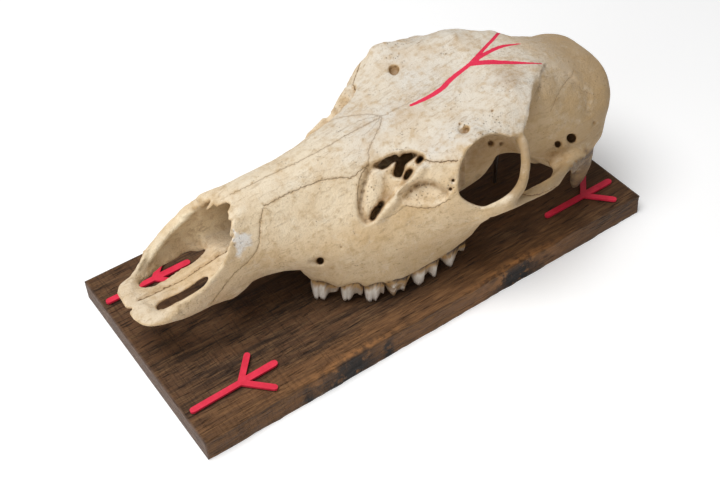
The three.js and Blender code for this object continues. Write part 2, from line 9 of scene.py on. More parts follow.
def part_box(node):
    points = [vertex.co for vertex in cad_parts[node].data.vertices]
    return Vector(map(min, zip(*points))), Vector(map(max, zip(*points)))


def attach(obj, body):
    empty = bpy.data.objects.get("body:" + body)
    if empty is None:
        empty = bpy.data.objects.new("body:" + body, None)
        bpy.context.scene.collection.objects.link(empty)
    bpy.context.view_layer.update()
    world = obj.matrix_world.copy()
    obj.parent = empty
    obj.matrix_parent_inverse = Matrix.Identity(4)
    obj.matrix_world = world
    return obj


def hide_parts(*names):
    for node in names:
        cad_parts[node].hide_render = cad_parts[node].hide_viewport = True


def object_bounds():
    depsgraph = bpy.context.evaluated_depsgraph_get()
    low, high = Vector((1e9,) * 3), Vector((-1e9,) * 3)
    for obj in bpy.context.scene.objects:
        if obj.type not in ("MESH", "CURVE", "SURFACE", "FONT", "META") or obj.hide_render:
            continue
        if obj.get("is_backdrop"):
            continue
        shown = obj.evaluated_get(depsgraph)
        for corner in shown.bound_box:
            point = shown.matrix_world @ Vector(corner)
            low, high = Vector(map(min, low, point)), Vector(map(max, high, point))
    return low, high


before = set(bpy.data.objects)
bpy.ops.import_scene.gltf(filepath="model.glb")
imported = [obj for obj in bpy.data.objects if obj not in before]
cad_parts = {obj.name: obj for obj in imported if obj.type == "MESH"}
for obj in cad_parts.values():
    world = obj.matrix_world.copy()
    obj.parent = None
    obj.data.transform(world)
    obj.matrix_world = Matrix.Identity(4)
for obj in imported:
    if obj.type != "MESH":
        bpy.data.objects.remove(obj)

CAD_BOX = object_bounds()
MM = 0.001

# The skull's own frame: millimetres, its origin on the board's top, turned a little about the vertical.
BOARD_LOW = np.array(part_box("board")[0]) / MM
BOARD_HIGH = np.array(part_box("board")[1]) / MM
BOARD_TOP = BOARD_HIGH[2]
SKULL_YAW = math.radians(-4.5)
YAW_COS = math.cos(SKULL_YAW)
YAW_SIN = math.sin(SKULL_YAW)

# The photograph's camera, in millimetres and degrees.
IMAGE_WIDTH = 720
IMAGE_HEIGHT = 480
SENSOR = 36.0
LENS = 56.74
CAMERA = {"azimuth": -34.76, "elevation": 45.58, "roll": -1.16, "distance": 900.5,
          "target": (1.3, 17.6, 0.0)}
# The size of a pixel of the photograph at the skull.
PIXEL = 0.79


def to_row(points):
    """Skull millimetres to row metres."""
    x, y, h = np.asarray(points, float).T
    turned = [x * YAW_COS - y * YAW_SIN, x * YAW_SIN + y * YAW_COS, h + BOARD_TOP]
    return np.stack(turned, -1) * MM


def to_skull(points):
    """Row metres to skull millimetres."""
    x, y, z = np.asarray(points, float).T / MM
    turned = [x * YAW_COS + y * YAW_SIN, y * YAW_COS - x * YAW_SIN, z - BOARD_TOP]
    return np.stack(turned, -1)


# Camera

def camera_axes():
    """The camera's directions to the right, upwards and backwards."""
    azimuth = math.radians(CAMERA["azimuth"])
    elevation = math.radians(CAMERA["elevation"])
    roll = math.radians(CAMERA["roll"])
    back = np.array([math.sin(azimuth) * math.cos(elevation), -math.cos(azimuth) * math.cos(elevation),
                     math.sin(elevation)])
    level_right = np.array([math.cos(azimuth), math.sin(azimuth), 0.0])
    level_up = np.cross(back, level_right)
    right = math.cos(roll) * level_right + math.sin(roll) * level_up
    up = math.cos(roll) * level_up - math.sin(roll) * level_right
    return right, up, back


RIGHT, UP, BACK = camera_axes()
EYE = (np.array(CAMERA["target"]) + BACK * CAMERA["distance"]) * MM
FOCAL_PIXELS = LENS / SENSOR * IMAGE_WIDTH


def add_camera():
    data = bpy.data.cameras.new("photo_camera")
    data.lens = LENS
    data.sensor_width = SENSOR
    data.sensor_fit = "HORIZONTAL"
    data.clip_start = 0.01
    data.clip_end = 20
    camera = bpy.data.objects.new("photo_camera", data)
    camera.matrix_world = Matrix((
        (RIGHT[0], UP[0], BACK[0], EYE[0]),
        (RIGHT[1], UP[1], BACK[1], EYE[1]),
        (RIGHT[2], UP[2], BACK[2], EYE[2]),
        (0, 0, 0, 1),
    ))
    bpy.context.scene.collection.objects.link(camera)
    bpy.context.scene.camera = camera


def pixel_ray(pixel):
    """The direction from the eye through a pixel of the photograph, in the row frame."""
    across = (pixel[0] - IMAGE_WIDTH / 2) / FOCAL_PIXELS
    upward = (IMAGE_HEIGHT / 2 - pixel[1]) / FOCAL_PIXELS
    return Vector(across * RIGHT + upward * UP - BACK).normalized()


def to_pixels(points):
    """Skull millimetres to the photograph's pixels."""
    offset = to_row(points) - EYE
    depth = -(offset @ BACK)
    return np.stack([IMAGE_WIDTH / 2 + FOCAL_PIXELS * (offset @ RIGHT) / depth,
                     IMAGE_HEIGHT / 2 - FOCAL_PIXELS * (offset @ UP) / depth], -1)


# Numbers that vary smoothly over space

NOISE_SEED = 11
NOISE_CELLS = 32
NOISE_TABLE = np.random.default_rng(NOISE_SEED).random((NOISE_CELLS,) * 3)


def noise(points, size, shift=0.0):
    """A smooth value from -1 to 1 whose lumps are about size millimetres across."""
    scaled = np.asarray(points, float) / size + shift
    base = np.floor(scaled).astype(int)
    part = scaled - base
    part = part * part * (3 - 2 * part)
    total = np.zeros(len(scaled))
    for corner in range(8):
        step = np.array([corner & 1, corner >> 1 & 1, corner >> 2 & 1])
        weight = np.prod(np.where(step, part, 1 - part), axis=-1)
        i, j, k = ((base + step) % NOISE_CELLS).T
        total += weight * NOISE_TABLE[i, j, k]
    return 2 * total - 1


def flat_noise(first, second, size, shift):
    """The same over two arrays of places in a plane."""
    flat = np.stack([first.ravel(), second.ravel(), 0 * first.ravel()], -1)
    return noise(flat, size, shift).reshape(first.shape)


def bump(distance, width):
    """1 at no distance, falling smoothly to nearly 0 at twice the width."""
    return np.exp(-(distance / width) ** 2)


def rising(value, start, span):
    """0 up to the start, then climbing to 1 over the span."""
    return np.clip((value - start) / span, 0, 1)


def falling(value, end, span):
    """1 until a span before the end, and 0 from the end on."""
    return np.clip((end - value) / span, 0, 1)


# Half sections of the skull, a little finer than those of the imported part. Each is the place along the
# skull and the points from the middle of the top to the middle of the underside, as out and height.

FACE = [
    (-199, [[0, 43.6], [4, 43.6], [8, 43.6], [12, 43.4], [15.5, 43], [18, 42.4], [18.8, 41.4],
            [18.6, 40.4], [17.4, 39.8], [14.5, 39.4], [11, 39], [7.5, 38.8], [4, 38.8], [0, 38.8]]),
    (-192, [[0, 44.2], [6, 44.6], [12, 44.8], [18, 44.6], [23, 44], [26.5, 43.2], [27.5, 41.8],
            [27, 40.4], [24, 39.4], [19.5, 39], [15, 38.8], [10, 38.6], [5, 38.6], [0, 38.6]]),
    (-180, [[0, 44.6], [7, 45], [14, 46.4], [21, 48], [26, 47.5], [29.3, 45], [30.8, 42.4],
            [30.9, 40.6], [29.6, 38.6], [26.5, 37], [20.5, 36.4], [13.5, 36.6], [6.5, 37], [0, 37.2]]),
    (-165, [[0, 57], [9, 57], [18, 57.5], [26.5, 57.5], [29.2, 55.5], [30.6, 50.5], [31, 45],
            [30.8, 40], [29.5, 36], [27, 33.5], [21.5, 33.5], [14.5, 35.5], [7, 37], [0, 37.5]]),
    (-150, [[0, 69], [9, 69], [18, 69], [27.8, 68.8], [30.6, 66.3], [31.7, 59], [31.8, 51],
            [31.4, 43.5], [30, 37.5], [27, 34.3], [21.5, 34.5], [15, 37], [7.5, 38.2], [0, 38.5]]),
    (-137, [[0, 80], [8.5, 80], [17, 79.5], [25.5, 78.5], [29.5, 75.5], [31, 67], [31.6, 57],
            [31.4, 47], [29.7, 39.5], [26.3, 35.3], [21.5, 35.3], [15, 37.5], [7.5, 39.3], [0, 40]]),
    (-128, [[0, 89], [7.5, 89], [15, 88.6], [22, 87.8], [26.3, 84.3], [29.3, 74], [31.3, 62],
            [31.4, 51], [29.3, 42], [25.6, 36.8], [21, 36.8], [15, 38.5], [7.5, 40.3], [0, 41]]),
    (-120, [[0, 95.5], [6, 95.5], [12.5, 94.9], [19, 93.3], [24, 87], [28, 76], [30.8, 64],
            [31.3, 53], [28.8, 43.5], [25, 38], [20.5, 38], [14.5, 40], [7.5, 41.5], [0, 42]]),
    (-108, [[0, 100.5], [6, 100], [11.5, 98.6], [16.5, 95.6], [22.5, 86.5], [27.8, 75], [31.2, 63],
            [31.9, 52.5], [29, 43.5], [24.8, 38.2], [20, 38.2], [14, 40.5], [7.5, 42.2], [0, 42.8]]),
    (-92, [[0, 103], [6.5, 102.2], [12.5, 99.9], [18.5, 95.6], [25, 86], [31, 74], [34.5, 62],
           [35, 51], [31.5, 42.5], [25.5, 37.3], [20.5, 37.3], [14, 41], [8, 43.5], [0, 44]]),
    (-79, [[0, 104.3], [6.5, 103.5], [12.5, 101.2], [18.7, 96.6], [26, 86.5], [33, 73.5], [38, 61],
           [39.5, 51], [37, 42], [30, 36.5], [24, 36.5], [17, 41], [9, 44.5], [0, 45]]),
    (-72, [[0, 105], [6.5, 104.2], [12.8, 101.7], [19.3, 96.8], [27.5, 86], [35, 73], [40, 61],
           [42, 50.5], [40, 38], [35.5, 21], [20, 21], [17, 36], [9, 44.5], [0, 45.5]]),
    (-53, [[0, 107.6], [7.5, 106.8], [14.5, 104], [21.5, 98.3], [31, 86], [40, 73.5], [46.5, 62],
           [50, 50.5], [51, 36], [50, 17.5], [31.5, 17.5], [28, 35], [14, 44.5], [0, 46]]),
    (-36, [[0, 110], [9.5, 109], [18, 106], [26, 99.5], [35, 88.5], [44.5, 76.5], [51.5, 65],
           [56, 52], [58, 36], [58, 17], [39, 17], [34.5, 35], [17, 45], [0, 46.5]]),
    (-17, [[0, 112.6], [11, 111.9], [21, 109.4], [30.5, 103], [39.5, 92.5], [48.5, 81], [55.5, 69],
           [60.5, 53.5], [63, 36], [62.3, 16.8], [42, 16.8], [37, 35], [18, 45.5], [0, 47]]),
    (3, [[0, 115.6], [13, 115.2], [26, 113.6], [38.5, 108.6], [47.5, 99.5], [56, 86.5], [62.5, 72.5],
         [65.5, 56], [65, 38], [62.5, 17.5], [42, 17.5], [37, 35.5], [18.5, 46.5], [0, 48]]),
    (20, [[0, 118.3], [16, 118.2], [32, 117], [49, 113], [60, 105.5], [68.5, 93.5], [72.5, 79],
          [72.5, 63], [67.5, 44], [61, 18.5], [41, 18.5], [36, 36], [18, 47.5], [0, 49]]),
    (36, [[0, 120.8], [20, 120.8], [40, 121], [60, 119.8], [70, 113.8], [76, 101], [78.5, 84],
          [77.8, 66], [69, 46.5], [59, 20], [39.5, 20], [34.5, 37], [17, 48.5], [0, 50]]),
    (50, [[0, 122.8], [22, 123], [44, 124], [66.5, 126], [73, 118], [78.5, 103], [81.8, 84],
          [81, 65], [69, 46], [56, 22.5], [37.5, 22.5], [32, 38], [16, 50], [0, 51.5]]),
    (58, [[0, 123.8], [22, 123.6], [44, 123.6], [66, 122.5], [71, 115], [77, 102], [80, 84],
          [79, 67], [62, 52], [52, 31], [38, 30], [30, 42], [15, 52], [0, 53]]),
]
CRANIUM = [
    (15, [[0, 110], [15, 110], [25, 108], [30, 105], [30, 100], [28, 95], [27, 85], [26, 75],
          [26, 65], [24, 55], [20, 50], [15, 50], [8, 52], [0, 52]]),
    (28, [[0, 119], [18, 119], [36, 118.5], [54, 114.8], [55.5, 112.3], [42, 109.5], [31, 102], [27, 88],
          [26, 74], [26, 58], [24, 44], [18, 44], [9, 50], [0, 51]]),
    (45, [[0, 122], [22, 122.3], [44, 123], [65.5, 125.7], [67, 123.6], [50, 118.5], [33, 108], [28, 92],
          [27.5, 76], [27.5, 56], [26, 37], [19, 34], [10, 48], [0, 50]]),
    (60, [[0, 124.3], [22, 125], [45, 126], [66.5, 122.8], [67.7, 120.6], [50, 115], [34, 107],
          [29, 92], [28.5, 76], [28.5, 56], [27.5, 41], [19, 31], [10, 46], [0, 49]]),
    (76, [[0, 127], [22, 127.8], [45, 128], [66, 118.8], [67, 115], [51, 111.5], [37, 104], [32, 92],
          [31, 76], [30, 60], [27, 44.5], [19, 33], [10, 44], [0, 47]]),
    (86, [[0, 128.8], [22, 129.8], [44, 129.8], [64.5, 118], [65, 114], [50, 110.5], [39.5, 103],
          [36, 92], [34.5, 78], [32, 63], [26.5, 47.5], [19, 37.5], [10, 41], [0, 44]]),
    (94, [[0, 130], [19.5, 131], [39, 131.8], [58.5, 123.3], [59, 119.5], [48, 111], [42, 103],
          [40, 93], [38.5, 82], [35, 74.5], [28, 62.5], [19.5, 49], [10, 43], [0, 43]]),
    (105, [[0, 130], [15, 130.6], [30, 131], [44.5, 128.6], [47, 123], [46.5, 114], [47, 103],
           [48, 93], [48.5, 83], [48, 73], [40, 67], [27, 61.5], [12, 50], [0, 47]]),
    (121, [[0, 129], [11.5, 129.4], [22, 129.7], [31.5, 128.6], [37.5, 122], [43.5, 112], [48, 100],
           [50.3, 88], [51.2, 77], [50.5, 66], [43, 56.5], [28, 49], [11, 41], [0, 39]]),
    (138, [[0, 126], [11.5, 125.6], [21.5, 123.4], [30.5, 118.6], [38.5, 110.5], [45, 100.5], [50, 89.5],
           [52, 79], [52.5, 70], [51.5, 60], [43, 50], [27, 40], [10, 34], [0, 33]]),
    (155, [[0, 121], [12.5, 119.6], [23.5, 115.6], [33.5, 109.6], [41.5, 102], [47.3, 92.5], [50.8, 83.5],
           [52, 75], [52.5, 66], [52.5, 57], [44, 48], [27, 38], [10, 32], [0, 31.5]]),
    (168, [[0, 116.3], [13, 114.6], [24, 110.6], [34, 104.6], [42, 97], [47, 88.5], [49.8, 80.5],
           [50.5, 73], [50.8, 64.5], [51, 56], [44, 47], [27, 38], [10, 33], [0, 33]]),
    (177, [[0, 113.3], [13, 112], [24, 108.5], [34, 103.3], [41.8, 96.4], [46.2, 88.5], [48, 80],
           [48, 71.5], [48, 63], [48, 55], [41, 47.5], [26, 39.5], [10, 35], [0, 35]]),
    (186, [[0, 109.5], [12, 108.6], [22.5, 106], [32, 101.3], [38.3, 95.4], [41.5, 88.5], [42, 80],
           [41, 71], [40, 62], [38, 55], [32, 49], [22, 43], [10, 39], [0, 39]]),
    (190.5, [[0, 105.5], [11, 106], [21, 104.3], [28.7, 99.8], [33, 93.5], [34.8, 86.5], [34.5, 79],
             [33, 71], [31, 63], [28, 56], [22, 51], [16, 47], [8, 45], [0, 45]]),
]
# How much the cranium's top climbs to the left, for each millimetre outwards, by place along the skull.
LEAN_PLACES = [60, 76, 94, 121, 138, 155, 168]
LEAN_VALUES = [0, 0.02, 0.03, 0.02, 0.03, 0.05, 0.06]
LEAN_FROM = 85
LEAN_FULL = 110

# The nose's open channel: along, half its width at the top, and the rest of the half section.
OPEN_TOP = 140
NOSE_CHANNEL = [
    (-196, 6, [[6, 60], [5, 50], [4, 46.5], [3, 45.6], [1.5, 45.4], [0, 45.4]]),
    (-188, 13, [[13, 55], [12, 47.5], [9.5, 44.6], [6, 43.4], [3, 43], [0, 43]]),
    (-179, 19.5, [[19.5, 52], [18.5, 45], [15.5, 40.5], [11, 40], [7, 41.5], [0, 41.5]]),
    (-165, 25.5, [[26, 54], [25, 44], [22.5, 37], [12, 37], [8, 40], [0, 40.5]]),
    (-150, 27, [[28, 63], [28, 48], [24.5, 37.5], [13, 38], [9, 41], [0, 41.5]]),
    (-137, 25, [[27.4, 73], [28.5, 54], [24.5, 38.7], [14, 39.5], [9, 42], [0, 43]]),
    (-128, 22, [[25.5, 80], [28.3, 59], [24.5, 40.5], [14, 41.5], [8, 43.5], [0, 44]]),
    (-120, 18.5, [[22, 85], [27.8, 61], [24, 42], [14, 43], [8, 44.5], [0, 45]]),
    (-106, 15, [[18, 88], [27, 63], [24, 43], [14, 44.5], [8, 45.5], [0, 46]]),
]
NOSE_CAVITY = [
    (-142, [[0, 72], [10, 72], [20, 70], [27, 60], [24, 45], [0, 46]]),
    (-128, [[0, 86], [11, 85], [19, 79], [27, 62], [24, 45], [0, 46]]),
    (-117, [[0, 94.3], [11, 92.8], [17, 85], [27, 62], [24, 45], [0, 46]]),
    (-92, [[0, 99.5], [11, 97], [20, 85], [30, 62], [24, 46], [0, 47]]),
    (-60, [[0, 102], [12, 99], [23, 84], [34, 62], [30, 46], [0, 50]]),
    (-20, [[0, 107], [16, 103], [26, 86], [34, 65], [32, 48], [0, 53]]),
    (12, [[0, 110], [22, 107], [30, 92], [30, 70], [24, 54], [0, 56]]),
    (34, [[0, 84], [8, 84], [16, 76], [18, 64], [16, 54], [0, 54]]),
    (70, [[0, 66], [6, 66], [12, 60], [13, 50], [12, 36], [0, 36]]),
]
# Where the broken tips of the nasal bones end: out to the right, and along the skull.
NASAL_TIPS = [(-30, -116), (-21, -119.5), (-19, -124.5), (-14.6, -123.4), (-12, -119.5), (-8, -118.5),
              (-5.8, -114), (-1.2, -114.5), (-0.6, -120), (2, -122.5), (5, -122.5), (6, -128), (8, -127),
              (9.6, -121.5), (14, -125), (20, -127), (30, -126)]

# Bars: along, out, height, half height and half thickness.
POSTORBITAL_BAR = [
    [79, 58, 117, 4.4, 4.6], [81, 68, 111, 3.8, 4.4], [78.5, 76.5, 104, 3.4, 4], [75, 82, 95, 3.2, 3.8],
    [72, 83.6, 85.5, 3.4, 3.8], [67, 83.4, 78, 4, 3.8], [60, 82.4, 73.3, 4.6, 4], [50, 80.3, 70.6, 5, 4.2],
    [38, 74.5, 67, 5, 5],
]
ZYGOMATIC_ARCH = [
    [52, 80, 68.5, 4, 4], [66, 82, 69, 4.6, 3.8], [80, 81.2, 68.5, 5, 3.6], [95, 78.6, 65.7, 5.6, 3.5],
    [109, 75, 62.8, 6.3, 3.5], [122, 69.5, 60, 6.6, 4], [134, 63, 57.6, 6.6, 6], [145, 55, 56, 6.5, 8],
    [152, 50, 55.5, 6, 8],
]
SQUAMOSAL_ROOT = [[116, 71, 59, 4.5, 3], [124, 63, 57.5, 6, 3.5], [131, 55, 57, 8, 4.5], [138, 46, 58, 10, 5]]
PAROCCIPITAL = [
    [162, 43, 56, 12, 7], [164.5, 43.5, 42, 10.5, 6], [166.5, 43, 29, 9.2, 5], [167, 41.5, 18, 8.4, 4],
    [166, 41, 10, 6, 3.2], [165.5, 40.5, 5, 3.2, 2.2],
]
# The bars at the side of the cranium, which way each one's thickness is measured, and how softly it joins.
OUTWARDS = (0, 1, 0)
UPWARDS = (0, 0, 1)
BARS = [
    (POSTORBITAL_BAR, OUTWARDS, 3),
    (ZYGOMATIC_ARCH, OUTWARDS, 3),
    (SQUAMOSAL_ROOT, UPWARDS, 4),
    (PAROCCIPITAL, OUTWARDS, 4),
]
CONDYLE = {"at": (184, 16, 44), "radii": (12, 10.5, 15), "tilt": 20}
BULLA = {"at": (140, 28, 36), "radii": (14, 8.5, 12), "tilt": 0}
TUBEROSITY_HOLLOW = {"at": (71, 52, 58), "radii": (20, 22, 36), "tilt": 0}
ORBIT = {"at": (51.5, 66, 97), "radii": (28, 38, 32), "tilt": -8}
FORAMEN_MAGNUM = {"start": (193, 0, 60), "direction": (-1, 0, -0.1), "radius": 12.5, "depth": 50}
# Small holes seen on the left side: pixel, radius, depth and whether the right side has them too.
HOLES = [
    (320.5, 260.6, 2.6, 12, True),
    (316.5, 261.8, 2.6, 3.2, True),
    (312, 262.6, 2.4, 1.8, True),
    (571, 138, 3.5, 12, True),
    (557.5, 144, 2.5, 9, True),
    (552, 150, 0.9, 3, False),
    (595, 123, 2.2, 2, False),
    (492, 111, 1.1, 3, False),
    (463.4, 128.4, 3.9, 4.2, False),
    (466.2, 130.4, 2.0, 8, False),
    (460.5, 124.5, 1.0, 4, False),
    (453, 180.5, 1.5, 7, True),
    (450.5, 189, 1.6, 7, True),
    (490.5, 143, 2.2, 6, True),
    (501, 143.5, 1.6, 5, True),
    (341, 247, 1.0, 3, False),
    (394, 70.5, 3.7, 6, False),
    (380, 63, 1.2, 3, False),
    (200, 203.5, 1.4, 5, False),
]
# How far outside the surface the cut of such a hole starts.
HOLE_LEAD = 3

# The right opening in the snout's floor, seen from above: along and out, and between which heights.
INCISIVE_HEIGHTS = (26, 47)
INCISIVE_RIGHT = [(-182, 13), (-180, 7), (-170, 6), (-153, 10.5), (-129, 18), (-132, 25), (-138.5, 27),
                  (-153.5, 25.5), (-161, 25), (-171, 20.5)]
# As pixels of the photograph: the snout's tip with its notch, the part of the nose that is open above
# the left rim, and the left opening in the snout's floor.
TIP_OUTLINE = [(260, 303), (210, 303), (190, 314.5), (182, 319.5), (175, 323.5), (168, 327), (161, 326.5),
               (155, 327.5), (147, 328), (141, 326), (138, 323), (134, 320.5), (129, 318), (126.5, 315),
               (127, 312.8), (130, 311.4), (133, 310.4), (137.6, 308.8), (137.3, 306.6), (131, 307.6),
               (127, 309.2), (123, 311), (121, 308.5), (119, 304.5), (117, 300.5), (116, 296),
               (117.5, 291), (118, 287.5), (120.5, 284), (125, 280.5), (131, 275), (134, 271),
               (137, 266.5), (143, 256), (150, 245), (161, 230), (179.5, 213), (193, 201.5), (210, 188),
               (260, 188)]
NOSE_CLEAR = [(226.5, 221.5), (232, 219.5), (229.7, 232.5), (228, 244), (225, 255), (219.4, 266.8),
              (210, 277), (196, 272), (196, 215), (209, 203), (213.7, 199.5), (219.4, 203),
              (228.5, 204.5), (226.3, 209.7), (227, 214), (224, 217)]
NEAR_OPENING = [(156.3, 309), (157.5, 305.5), (162, 301.5), (170, 298), (178, 294.5), (186, 290),
                (194, 284.5), (202, 279), (208, 276.5), (207.5, 280.5), (203, 285), (196, 290),
                (188, 295.5), (180, 300.5), (171, 305.5), (163, 309.5), (158.5, 310.8)]
# The height of the nose's rim by place along the skull, on the left and on the right, at one distance
# from the middle, and its slope outwards from there.
NEAR_RIM = [(-202, 43), (-190, 44.2), (-182, 46), (-178, 48.5), (-174, 50.2), (-167, 51.2), (-161, 52.7),
            (-154.7, 54.6), (-149.3, 57), (-145, 61.5), (-140, 65), (-135.8, 68), (-130.6, 76.5),
            (-127.4, 85.5), (-125, 95), (-122, 106), (-118, 140)]
FAR_RIM = [(-202, 43), (-193, 44.2), (-186, 46.5), (-180, 50.5), (-172, 60), (-165, 140)]
NEAR_RIM_AT = 26
NEAR_RIM_SLOPE = 0.7
# More bars, with the same five numbers: a thin shelf on the nose's inner wall and the thick rounded rim
# above it, both on the far side, and the lower front edge of the maxilla, on each side.
NOSE_SHELF = [[-142, 27, 74, 0.9, 1.5], [-136, 25.5, 77, 1, 4], [-126, 23.5, 78, 1, 5],
              [-114, 21, 78, 1, 5.5]]
THICK_RIM = [[-176, 25.5, 38.5, 2, 2.6], [-172, 26, 42.5, 2.6, 3], [-168, 26, 46.5, 3, 3.2],
             [-162, 26, 53, 3.2, 3.4], [-150, 26.2, 63.6, 3.3, 3.4], [-137, 25, 72.3, 3.3, 3.4],
             [-130, 23, 79.5, 3, 3.2], [-124, 20.5, 84.5, 2.5, 3]]
MAXILLA_FOOT = [[-150, 26.5, 40, 1.5, 2], [-144, 27, 39.3, 3, 2.6], [-137, 26.8, 38, 3.6, 3],
                [-130, 26.6, 37, 4, 3], [-124, 26.5, 38.5, 3.6, 3], [-117, 26, 41, 2.5, 2.5]]
# The groove along the bar in the snout's floor: along, out and height.
FLOOR_GROOVE = [(-189, -3.6, 43), (-172, -0.8, 41.5), (-151, 0.6, 41.5), (-129, 3.8, 44), (-112, 4.5, 45.5)]

# Outlines on the left side, as pixels of the photograph. The same shapes are cut on the right side.
ORBIT_RIM = [(459.8, 170), (461.5, 163), (463.8, 158), (466, 153), (470, 147.8), (474, 143.5),
             (478.6, 139.8), (484, 136.6), (490, 134.6), (496, 134), (502.5, 135), (508, 137), (513, 140),
             (518.5, 146.8), (521, 156.3), (519.7, 169.7), (515.9, 184), (508.3, 195.6), (497.7, 204.6),
             (486.3, 207.4), (474.8, 205), (465.3, 200), (459, 192.5), (459.2, 180)]
ORBIT_THROUGH = [(457.6, 192), (464.3, 199.4), (474.8, 204.5), (486.3, 207), (497.7, 204.2),
                 (508.3, 195.6), (515.9, 184), (519.7, 169.7), (520.5, 158), (519, 152), (510, 149),
                 (500, 150), (492, 155.5), (485, 165), (478, 173.5), (470, 182), (463, 188)]
TEMPORAL_THROUGH = [(529, 159), (540, 163), (552.8, 168.8), (551.3, 175.5), (544.6, 183), (532.2, 189.8),
                    (524, 191), (527, 182), (529.5, 170)]
BEHIND_ARCH = [(556, 189.5), (561, 182.5), (563.5, 177), (566, 172), (568.5, 168.5), (570.5, 169),
               (570.5, 172), (571, 177), (573, 184), (576, 188), (570, 200), (556, 200)]
FACIAL_GAP = [(367.8, 165.1), (372, 165.4), (373.5, 163), (377, 163.8), (379.3, 161.5), (383, 161.6),
              (385, 158.6), (390.8, 157.4), (393.5, 155), (399.7, 154.2), (404, 152.6), (408.6, 153),
              (413, 152.8), (417.6, 154.9), (423.9, 156.8), (422.7, 160.6), (415, 170.8), (404.8, 181),
              (395.9, 191.2), (386.9, 202.7), (379.3, 212.9), (372.9, 220.6), (366.5, 224.4),
              (361.4, 220.6), (358.9, 212.9), (358.2, 204), (360.2, 191.2), (364, 179.7), (366.5, 170.8)]
GAP_DEPTH = 6.0
GAP_OPENINGS = [
    [(375, 165.5), (379.3, 163), (384, 160.5), (390, 157.6), (397, 155.6), (396, 159), (391, 163),
     (384.4, 168.3), (380, 167.5)],
    [(402, 157), (406, 154.6), (411, 153.6), (416, 154.6), (411, 158), (406, 162.5), (403.5, 169),
     (401, 176.5), (396, 176.5), (394, 173.5), (396.5, 165)],
    [(404, 178.5), (406.5, 173.5), (410.5, 170.3), (413.2, 171.5), (410, 176.8), (405, 181)],
    [(420.5, 156), (423.6, 157), (420, 163), (417, 162.5)],
    [(380.5, 203), (382, 205), (376, 214), (373, 219), (372.6, 214)],
]
GAP_OPENING_DEPTH = 22
BLADE = {"pixel": (373.5, 194), "half_width": 11, "half_length": 25, "lean": 0.16, "rise": 4.4}
LACRIMAL_BAR = {"from": (425, 166), "to": (376, 222), "half_width": 4.8, "rise": 3.4}
PIT_DEPTH = 9.5
LACRIMAL_PIT = [(396, 194.5), (404, 187), (413, 182), (424, 180), (434, 181.5), (442, 186), (449, 193),
                (446, 200), (436, 205), (420, 206), (407, 203.5), (400, 200)]

# Openings that the photograph looks right through: the outline, and the low and high corners of the part
# of the grid to clear, given for the right side. Those of the nose are cut on the left side alone.
SIDE_OPENINGS = [
    (ORBIT_THROUGH, [28, 24, 14], [80, 79, 98]),
    (TEMPORAL_THROUGH, [84, 24, 2], [150, 74, 68]),
    (ORBIT_RIM, [14, 50, 84], [86, 84, 130]),
    (BEHIND_ARCH, [100, 44, 2], [156, 84, 62]),
]
NOSE_OPENINGS = [
    (NEAR_OPENING, [-190, 2, 26], [-120, 30, 50]),
    (NOSE_CLEAR, [-150, 8, 49], [-96, 40, 112]),
]

# Teeth of the upper jaw: joints along the outer side of the row, as along and out, then each tooth's width,
# how stained it is, and its lower outer edge, as shares along the tooth and heights.
TOOTH_ROW = [[-72, 31], [-55, 45], [-40, 55], [-24, 61], [-1, 63], [27, 60.5], [53, 55.5]]
TOOTH_GAP = 0.25
TOOTH_ROOT = 30
TOOTH_STEPS = 56
TOOTH_RINGS = 11
TEETH = [
    {"name": "p2", "across": 14, "stain": 0.0,
     "edge": [(0, 9), (0.06, 6), (0.15, 2), (0.25, 1.2), (0.32, 5), (0.38, 2), (0.48, 0.8), (0.56, 4),
              (0.66, 8), (0.85, 8), (0.95, 8.5), (1, 11)]},
    {"name": "p3", "across": 17, "stain": 0.0,
     "edge": [(0, 8), (0.1, 3), (0.16, 2), (0.27, 2.2), (0.33, 4.5), (0.4, 0.9), (0.46, 2.5), (0.53, 6),
              (0.63, 8), (0.8, 8), (0.9, 5.5), (1, 6)]},
    {"name": "p4", "across": 19, "stain": 0.05,
     "edge": [(0, 6), (0.08, 2), (0.2, 0.7), (0.33, 1.4), (0.37, 3), (0.41, 0.8), (0.5, 0.7), (0.63, 3.5),
              (0.77, 6.5), (0.92, 4.5), (1, 6)]},
    {"name": "m1", "across": 20, "stain": 0.9,
     "edge": [(0, 10), (0.1, 5), (0.24, 0.8), (0.35, 3.5), (0.45, 7), (0.51, 4), (0.6, 1), (0.7, 5),
              (0.82, 7.5), (1, 11)]},
    {"name": "m2", "across": 21, "stain": 0.1,
     "edge": [(0, 9), (0.05, 3), (0.14, 0.8), (0.22, 1.5), (0.3, 2.5), (0.37, 6), (0.46, 9.5), (0.52, 6),
              (0.62, 2), (0.7, 0.8), (0.78, 5), (0.9, 9), (1, 12)]},
    {"name": "m3", "across": 20, "stain": 0.15,
     "edge": [(0, 10), (0.12, 4), (0.26, 0.8), (0.36, 3.5), (0.44, 3), (0.54, 8), (0.62, 10), (0.78, 9),
              (0.87, 5), (1, 10)]},
]
# The bone's lower edge above the teeth: its height by place along the skull.
GUM_EDGE = [(-84, 35), (-77, 33), (-74, 28), (-71.5, 23), (-64, 22.5), (-56, 18), (-50, 22), (-44, 24),
            (-40, 18.5), (-32, 21.5), (-27, 20.5), (-24, 16.5), (-19, 20.5), (-13, 18), (-3, 17.5),
            (5, 20.5), (13, 20.5), (22, 18), (33, 19), (42, 17.5), (50, 16), (60, 20)]
# How far below that edge the gum has browned the teeth.
GUM_DROP = 6.8

